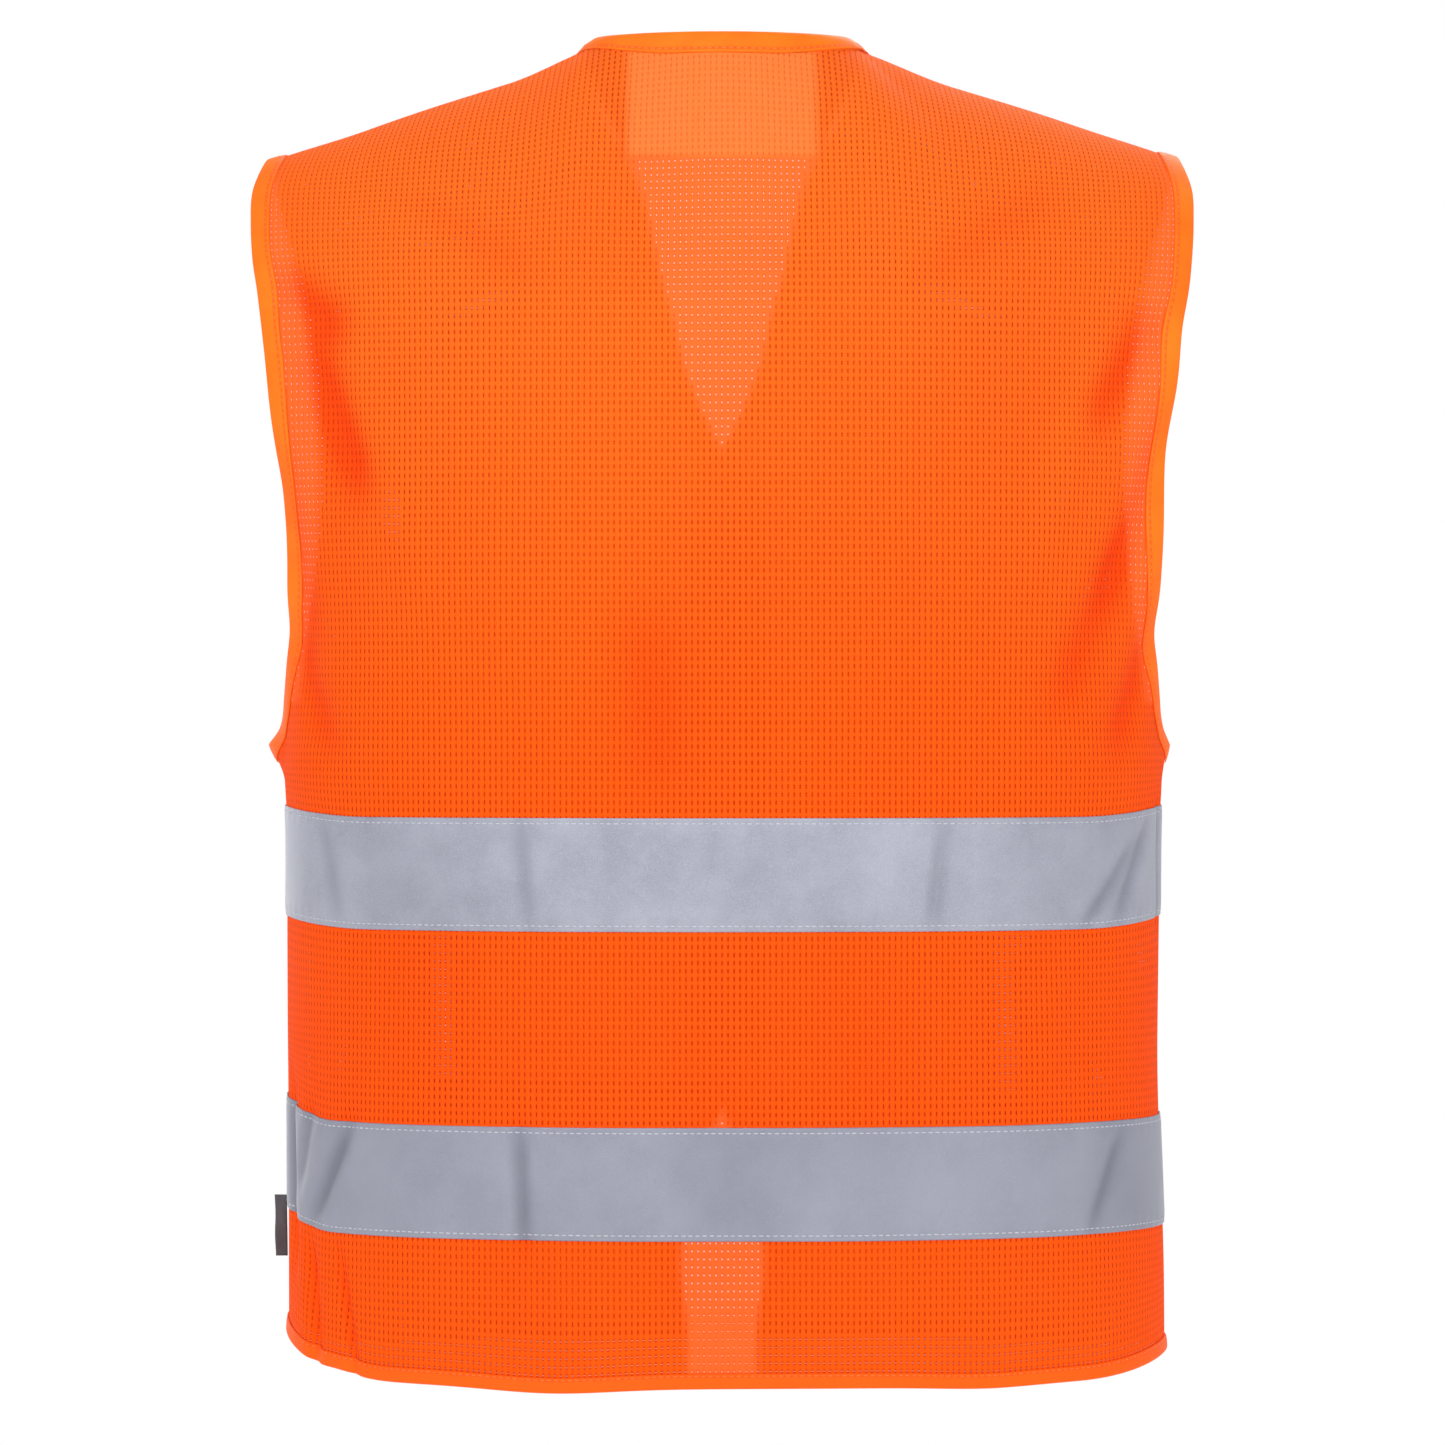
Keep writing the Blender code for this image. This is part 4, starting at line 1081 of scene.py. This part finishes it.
def neck_line():
    """The neckline in plan, from the right shoulder seam round the nape to the left one,
    with how the binding stands on it: how far out its stitching lies, how far in its fold
    leans, and how high the fold stands. It lies flat on the chest and stands at the nape."""
    on = np.linspace(float(seam_turn(NECK_HALF)), 0.4, 16)
    x = edge_at(on, V_NECK, FRONT_CUT)
    y = turned(x, on, FRONT_CUT)[0]
    angle = np.radians(np.linspace(-90, 90, 121))
    nape = np.abs(np.sin(angle)) ** 5
    flat = smooth(np.linspace(1, 0, 16))
    stand = [np.concatenate([end, mid, end[::-1]]) for end, mid in (
        (0.0024 + 0.0058 * flat, 0.0056 - 0.0032 * nape),
        (-0.0050 * (1 - flat), -0.0050 * nape),
        (0.0034 * (1 - flat), 0.0022 + 0.0012 * nape))]
    plan = (np.concatenate([-x, NECK_HALF * np.sin(angle), x[::-1]]),
            np.concatenate([-y, NECK_DEPTH * np.cos(angle), -y[::-1]]))
    return run_along(*plan), plan, stand


NECK_RUN, NECK_PLAN, NECK_STAND = neck_line()


def neck_point(s, t):
    """A point of the neck's binding before the cloth settles."""
    x, y = (np.interp(s, NECK_RUN, line) for line in NECK_PLAN)
    dx, dy = (np.interp(s + 1e-3, NECK_RUN, line) - np.interp(s - 1e-3, NECK_RUN, line)
              for line in NECK_PLAN)
    size = np.hypot(dx, dy)
    out, lean, stand = (np.interp(s, NECK_RUN, line) for line in NECK_STAND)
    share = t / NECK_WIDTH
    m = lean + (out - lean) * share
    x, y = x - dy / size * m, y + dx / size * m
    z = nape_height(x, y) + stand * np.maximum(1 - share, 0.0) ** 1.4
    return np.stack([x, y, z], axis=-1)


def on_neck(s, t, lift=0.0):
    """Points on the neck's binding line: s along the neckline, t outward from the fold."""
    s, t = np.broadcast_arrays(np.asarray(s, float), np.asarray(t, float))
    step = 3e-4
    ahead = neck_point(s + step, t) - neck_point(s - step, t)
    out = neck_point(s, t + step) - neck_point(s, t - step)
    normal = np.cross(out, ahead)
    normal /= np.maximum(np.linalg.norm(normal, axis=-1, keepdims=True), 1e-12)
    normal *= np.where(normal[..., 2:3] + 0.5 * normal[..., 1:2] < 0, -1.0, 1.0)
    return settled(neck_point(s, t) + normal * np.broadcast_to(lift, s.shape)[..., None])


def make_back():
    """The back panel with its tapes, its bound edges, their threads and the neck facing."""
    cloth, area = knit("back_cloth", BACK, on_back, None, [UPPER_TAPE, LOWER_TAPE], BACK_KNIT)
    keep(cloth, "back", "mesh_cloth", "back_panel")
    reflective_bands("back", on_back, BACK, [UPPER_TAPE, LOWER_TAPE],
                     lambda t: SEAM_LAP - BACK.full_at(t),
                     lambda t: BACK.full_at(t) - SEAM_LAP, CUT_END, 400, True)

    t, s = armhole_line(BACK, 90)
    rows = [bound("armhole_edge_back_" + word, "back", "armhole_binding_back_" + word, on_back,
                  side * s, t, side, BIND_WIDTH, True, BACK.seam_at)
            for side, word in ((1, "left"), (-1, "right"))]
    end = BACK.full_at(HEM_Z) - 0.0006
    s = np.linspace(-end, end, 300)
    rows.append(bound("hem_edge_back", "back", "hem_binding_back", on_back, s, 0 * s + HEM_Z,
                      1, HEM_WIDTH, True, sewn=0.82))
    rows.append(bound("neck_edge", "back", "neck_binding", on_neck, NECK_RUN, 0 * NECK_RUN, 1,
                      NECK_WIDTH, True, half=0.0013))
    keep(thread_piece("back_edge_stitching", rows, ORANGE_THREAD), "back", "binding")

    top = float(BACK.ridge_at(0.0))
    u, share = np.meshgrid(np.linspace(-1, 1, 60), np.linspace(0, 1, 30))
    drop = -FACING_DEEP * (1 - share)
    s = u * facing_half(drop)
    t = top + drop + share * (BACK.ridge_at(s) - top - 0.003)
    piece = mesh_piece("neck_facing", on_back(s, t, -FACING_IN), [grid_faces(*s.shape, flip=True)],
                       LINING, (s / BACK_KNIT[0], t / BACK_KNIT[1]))
    width, level = 2 * facing_half(drop[:, 0]), drop[:, 0]
    area = float(np.sum(0.5 * (width[1:] + width[:-1]) * np.diff(level)))
    thicken(piece)
    keep(piece, "back", "lining", "neck_patch")


# ---- the fronts ----
def closing_line():
    """t and s along a front's near edge, from the hem up to the shoulder seam."""
    heights = np.linspace(HEM_Z, TURN_Z, 260)
    near = np.linspace(0, 0.06, 200)
    middle = CHEST.read(near[None, :], heights[:, None])[0][..., 0]
    low_s = np.array([np.sign(x) * np.interp(abs(x), row, near)
                      for x, row in zip(closing_x(heights), middle)])
    use = CHEST.v_t <= CHEST.seam_at(CHEST.v_s) + 0.001
    return (np.concatenate([heights, CHEST.v_t[use][1:]]),
            np.concatenate([low_s, CHEST.v_s[use][1:]]))


def make_front(side):
    """One front, side being +1 for the left: cloth, tapes, bound edges and touch tape."""
    word = "left" if side > 0 else "right"
    body, sewn_body = "front_" + word, "shoulder_" + word
    place, flip = on_front(side), side < 0
    bands = [UPPER_TAPE, LOWER_TAPE_LEFT if side > 0 else LOWER_TAPE]
    edge_t, edge_s = closing_line()

    def near_edge(t):
        return np.interp(t, edge_t, edge_s)

    cloth, area = knit(body + "_cloth", CHEST, place, near_edge, bands, FRONT_KNIT, side)
    keep(cloth, sewn_body, "mesh_cloth", body + "_panel")
    reflective_bands(body, place, CHEST, bands,
                     lambda t: near_edge(t) + BIND_WIDTH - 0.0006,
                     lambda t: CHEST.full_at(t) - SEAM_LAP, 0.0026, 300, flip, side)

    arm_t, arm_s = armhole_line(CHEST, 60)
    hem_s = np.linspace(float(near_edge(HEM_Z)) + BIND_WIDTH - 0.001,
                        CHEST.full_at(HEM_Z) - 0.0006, 200)
    rows = [bound(name, sewn_body, node, place, s, t, inward, width, flip, seam)
            for name, node, s, t, inward, width, seam in (
                ("armhole_edge_front_" + word, "armhole_binding_front_" + word, arm_s, arm_t,
                 1, BIND_WIDTH, CHEST.seam_at),
                (body + "_closing_edge", body + "_edge_binding", edge_s, edge_t, -1,
                 BIND_WIDTH, None),
                ("hem_edge_" + body, "hem_binding_front_" + word, hem_s, 0 * hem_s + HEM_Z, 1,
                 HEM_WIDTH, None))]
    keep(thread_piece(body + "_edge_stitching", rows, ORANGE_THREAD), sewn_body, "binding")

    kind, finish = ("loop", LOOPS) if side > 0 else ("hook", HOOKS)
    for name, (low, high) in PATCH_ROWS.items():
        u, v = np.meshgrid(np.linspace(-1, 1, 16), np.linspace(-1, 1, 30))
        s = 0.020 + 0.010 * u
        t = 0.5 * (low + high) + 0.5 * (high - low) * v
        s = s + near_edge(t)
        rim = 0.0002 * (1 - np.maximum(np.abs(u), np.abs(v)) ** 8)
        piece = mesh_piece("%s_closure_%s" % (kind, name),
                           place(s, t, -side * (CLOSURE_OFF + rim)),
                           [grid_faces(*s.shape, flip=True)], finish, (100 * s, 100 * t))
        thicken(piece, 0.0005, 0.0)
        keep(piece, sewn_body, kind + "_tape", "%s_patch_%s" % (kind, name))


def make_side_seam(side):
    """The overlocked seam allowance inside a side seam: a narrow strip half on each cloth."""
    word = "left" if side > 0 else "right"
    t = np.linspace(HEM_Z + 0.0015, UNDERARM_Z - 0.003, 130)[:, None]
    inset = np.linspace(SEAM_ALLOWANCE, 0.0, 6)
    back = on_back(side * (BACK.full_at(t) - inset), t, -SEAM_IN)
    front = on_front(side)(CHEST.full_at(t) - inset[::-1], t, -SEAM_IN)
    middle = 0.5 * (back[:, -1:] + front[:, :1])
    points = np.concatenate([back[:, :-1], middle, front[:, 1:]], axis=1)
    piece = mesh_piece("side_seam_" + word, points,
                       [grid_faces(*points.shape[:2], flip=side > 0)], TRIM,
                       (t / STITCH, np.linspace(0.4, 1.6, 11)))
    thicken(piece)
    keep(piece, "seam_" + word, "mesh_cloth")


def make_label():
    """The dark tab in the left side seam: a ribbon folded double, its fold outermost."""
    low, high = (corner - Vector((0.0022, 0, 0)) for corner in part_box("side_label"))
    reach, tall = high.x - low.x, high.z - low.z
    middle = 0.5 * (low.y + high.y)
    leg, bend = np.linspace(-0.1, 0.94, 9), np.linspace(0, math.pi, 7)[1:-1]
    out = np.concatenate([leg, 0.94 + 0.06 * np.sin(bend), leg[::-1]])
    half = np.concatenate([np.full(9, 1.0), np.cos(bend), np.full(9, -1.0)])
    u, v = np.meshgrid(out, np.linspace(0, 1, 24))
    bow = 0.0006 * u * np.sin(math.pi * v * 1.3 + 0.4)
    x = low.x + reach * u * (1 - 0.03 * np.cos(9 * v)) + 0.0004 * v
    y = middle + 0.00026 * half * (0.6 + 0.4 * u) + bow
    piece = mesh_piece("side_tab", np.stack([x, y, low.z + tall * v], axis=2),
                       [grid_faces(*u.shape)], RIBBON)
    thicken(piece, 0.00012, 0.0)
    keep(piece, "label", "label", "side_label")


make_back()
for side in (1, -1):
    make_front(side)
for side in (1, -1):
    make_side_seam(side)
make_label()

# The fronts stay sewn to the shoulders and a seam allowance to its seam: these keep their
# places, baked into their meshes. The shoulder seam and the 0.29 m line below it are not used.
SHOULDER_SEAM, FREE = (0.060, -0.040, -0.020), (0.377 * 0.29, 0.926 * 0.29)
for piece, body, slot, nodes in pieces:
    joint, _, word = body.partition("_")
    if joint == "shoulder":
        side, (x, y, z) = 1 if word == "left" else -1, SHOULDER_SEAM
        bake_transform(piece)
    elif joint == "seam":
        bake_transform(piece)
    else:
        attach(piece, body)
    if nodes:
        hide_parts(*nodes)

# ---- stage, light and camera ----
FLOOR_Z, FLOOR_RADIUS = -1.42, 5.6   # a wearer's shoulders stand this far above the floor
LENS, SENSOR, CAMERA_AT = 146.6, 36.0, (-0.0002, 2.7, EYE_Z)
PAPER = paper_finish("studio_paper", rgb(0.90, 0.90, 0.90), rgb(0.93, 0.93, 0.93))


def make_stage():
    """A round, pale, level floor: rings of points about the middle."""
    ring = np.concatenate([[0.001], np.linspace(0.4, FLOOR_RADIUS, 24)])[:, None]
    angle = np.linspace(0, 2 * math.pi, 97)[None, :-1]
    points = np.stack([ring * np.cos(angle), ring * np.sin(angle), FLOOR_Z + 0 * ring * angle],
                      axis=2)
    mesh_piece("floor", points, [grid_faces(*points.shape[:2], wrap=True)], PAPER)


def soft_light(name, place, aim, size, watts):
    """A round soft light at a place, turned to its aim."""
    data = bpy.data.lights.new(name, "AREA")
    data.shape, data.size, data.energy = "DISK", size, watts
    lamp = bpy.data.objects.new(name, data)
    lamp.location = place
    x, y, z = np.array(aim, float) - np.array(place, float)
    lamp.rotation_euler = (math.pi / 2 + math.atan2(z, math.hypot(x, y)), 0.0,
                           math.atan2(y, x) - math.pi / 2)
    bpy.context.scene.collection.objects.link(lamp)


def make_camera():
    """Level with the vest's middle, behind the wearer, on a long lens."""
    data = bpy.data.cameras.new("camera")
    data.lens, data.sensor_width = LENS, SENSOR
    data.clip_end = 60.0
    camera = bpy.data.objects.new("camera", data)
    camera.location = CAMERA_AT
    camera.rotation_euler = (math.pi / 2, 0.0, math.pi)
    bpy.context.scene.collection.objects.link(camera)
    bpy.context.scene.camera = camera


def make_world():
    """White all round at eye level, where the backdrop shows, and dimmer towards the top."""
    world = bpy.data.worlds.new("studio")
    world.use_nodes = True
    nodes, links = world.node_tree.nodes, world.node_tree.links
    where = nodes.new("ShaderNodeTexCoord")
    apart = nodes.new("ShaderNodeSeparateXYZ")
    level = nodes.new("ShaderNodeMapRange")
    for key, value in ((1, 0.15), (2, 0.55), (3, 1.0), (4, 0.42)):
        level.inputs[key].default_value = value
    links.new(where.outputs["Generated"], apart.inputs[0])
    links.new(apart.outputs[2], level.inputs[0])
    links.new(level.outputs[0], nodes["Background"].inputs[1])
    nodes["Background"].inputs[0].default_value = rgb(1, 1, 1)
    bpy.context.scene.world = world


make_stage()
make_camera()
for name, place, aim_z, size, watts in (
        ("key", (0.5, 2.2, 1.6), -0.25, 1.5, 53.0),
        ("fill", (-1.5, 2.2, 0.1), -0.3, 1.8, 12.0),
        ("chest_key", (-0.5, -2.2, 1.6), -0.25, 1.5, 50.0),
        ("chest_fill", (1.5, -2.2, 0.1), -0.3, 1.8, 10.0)):
    soft_light(name, place, (0, 0, aim_z), size, watts)
make_world()
bpy.context.scene.view_settings.view_transform = "Standard"
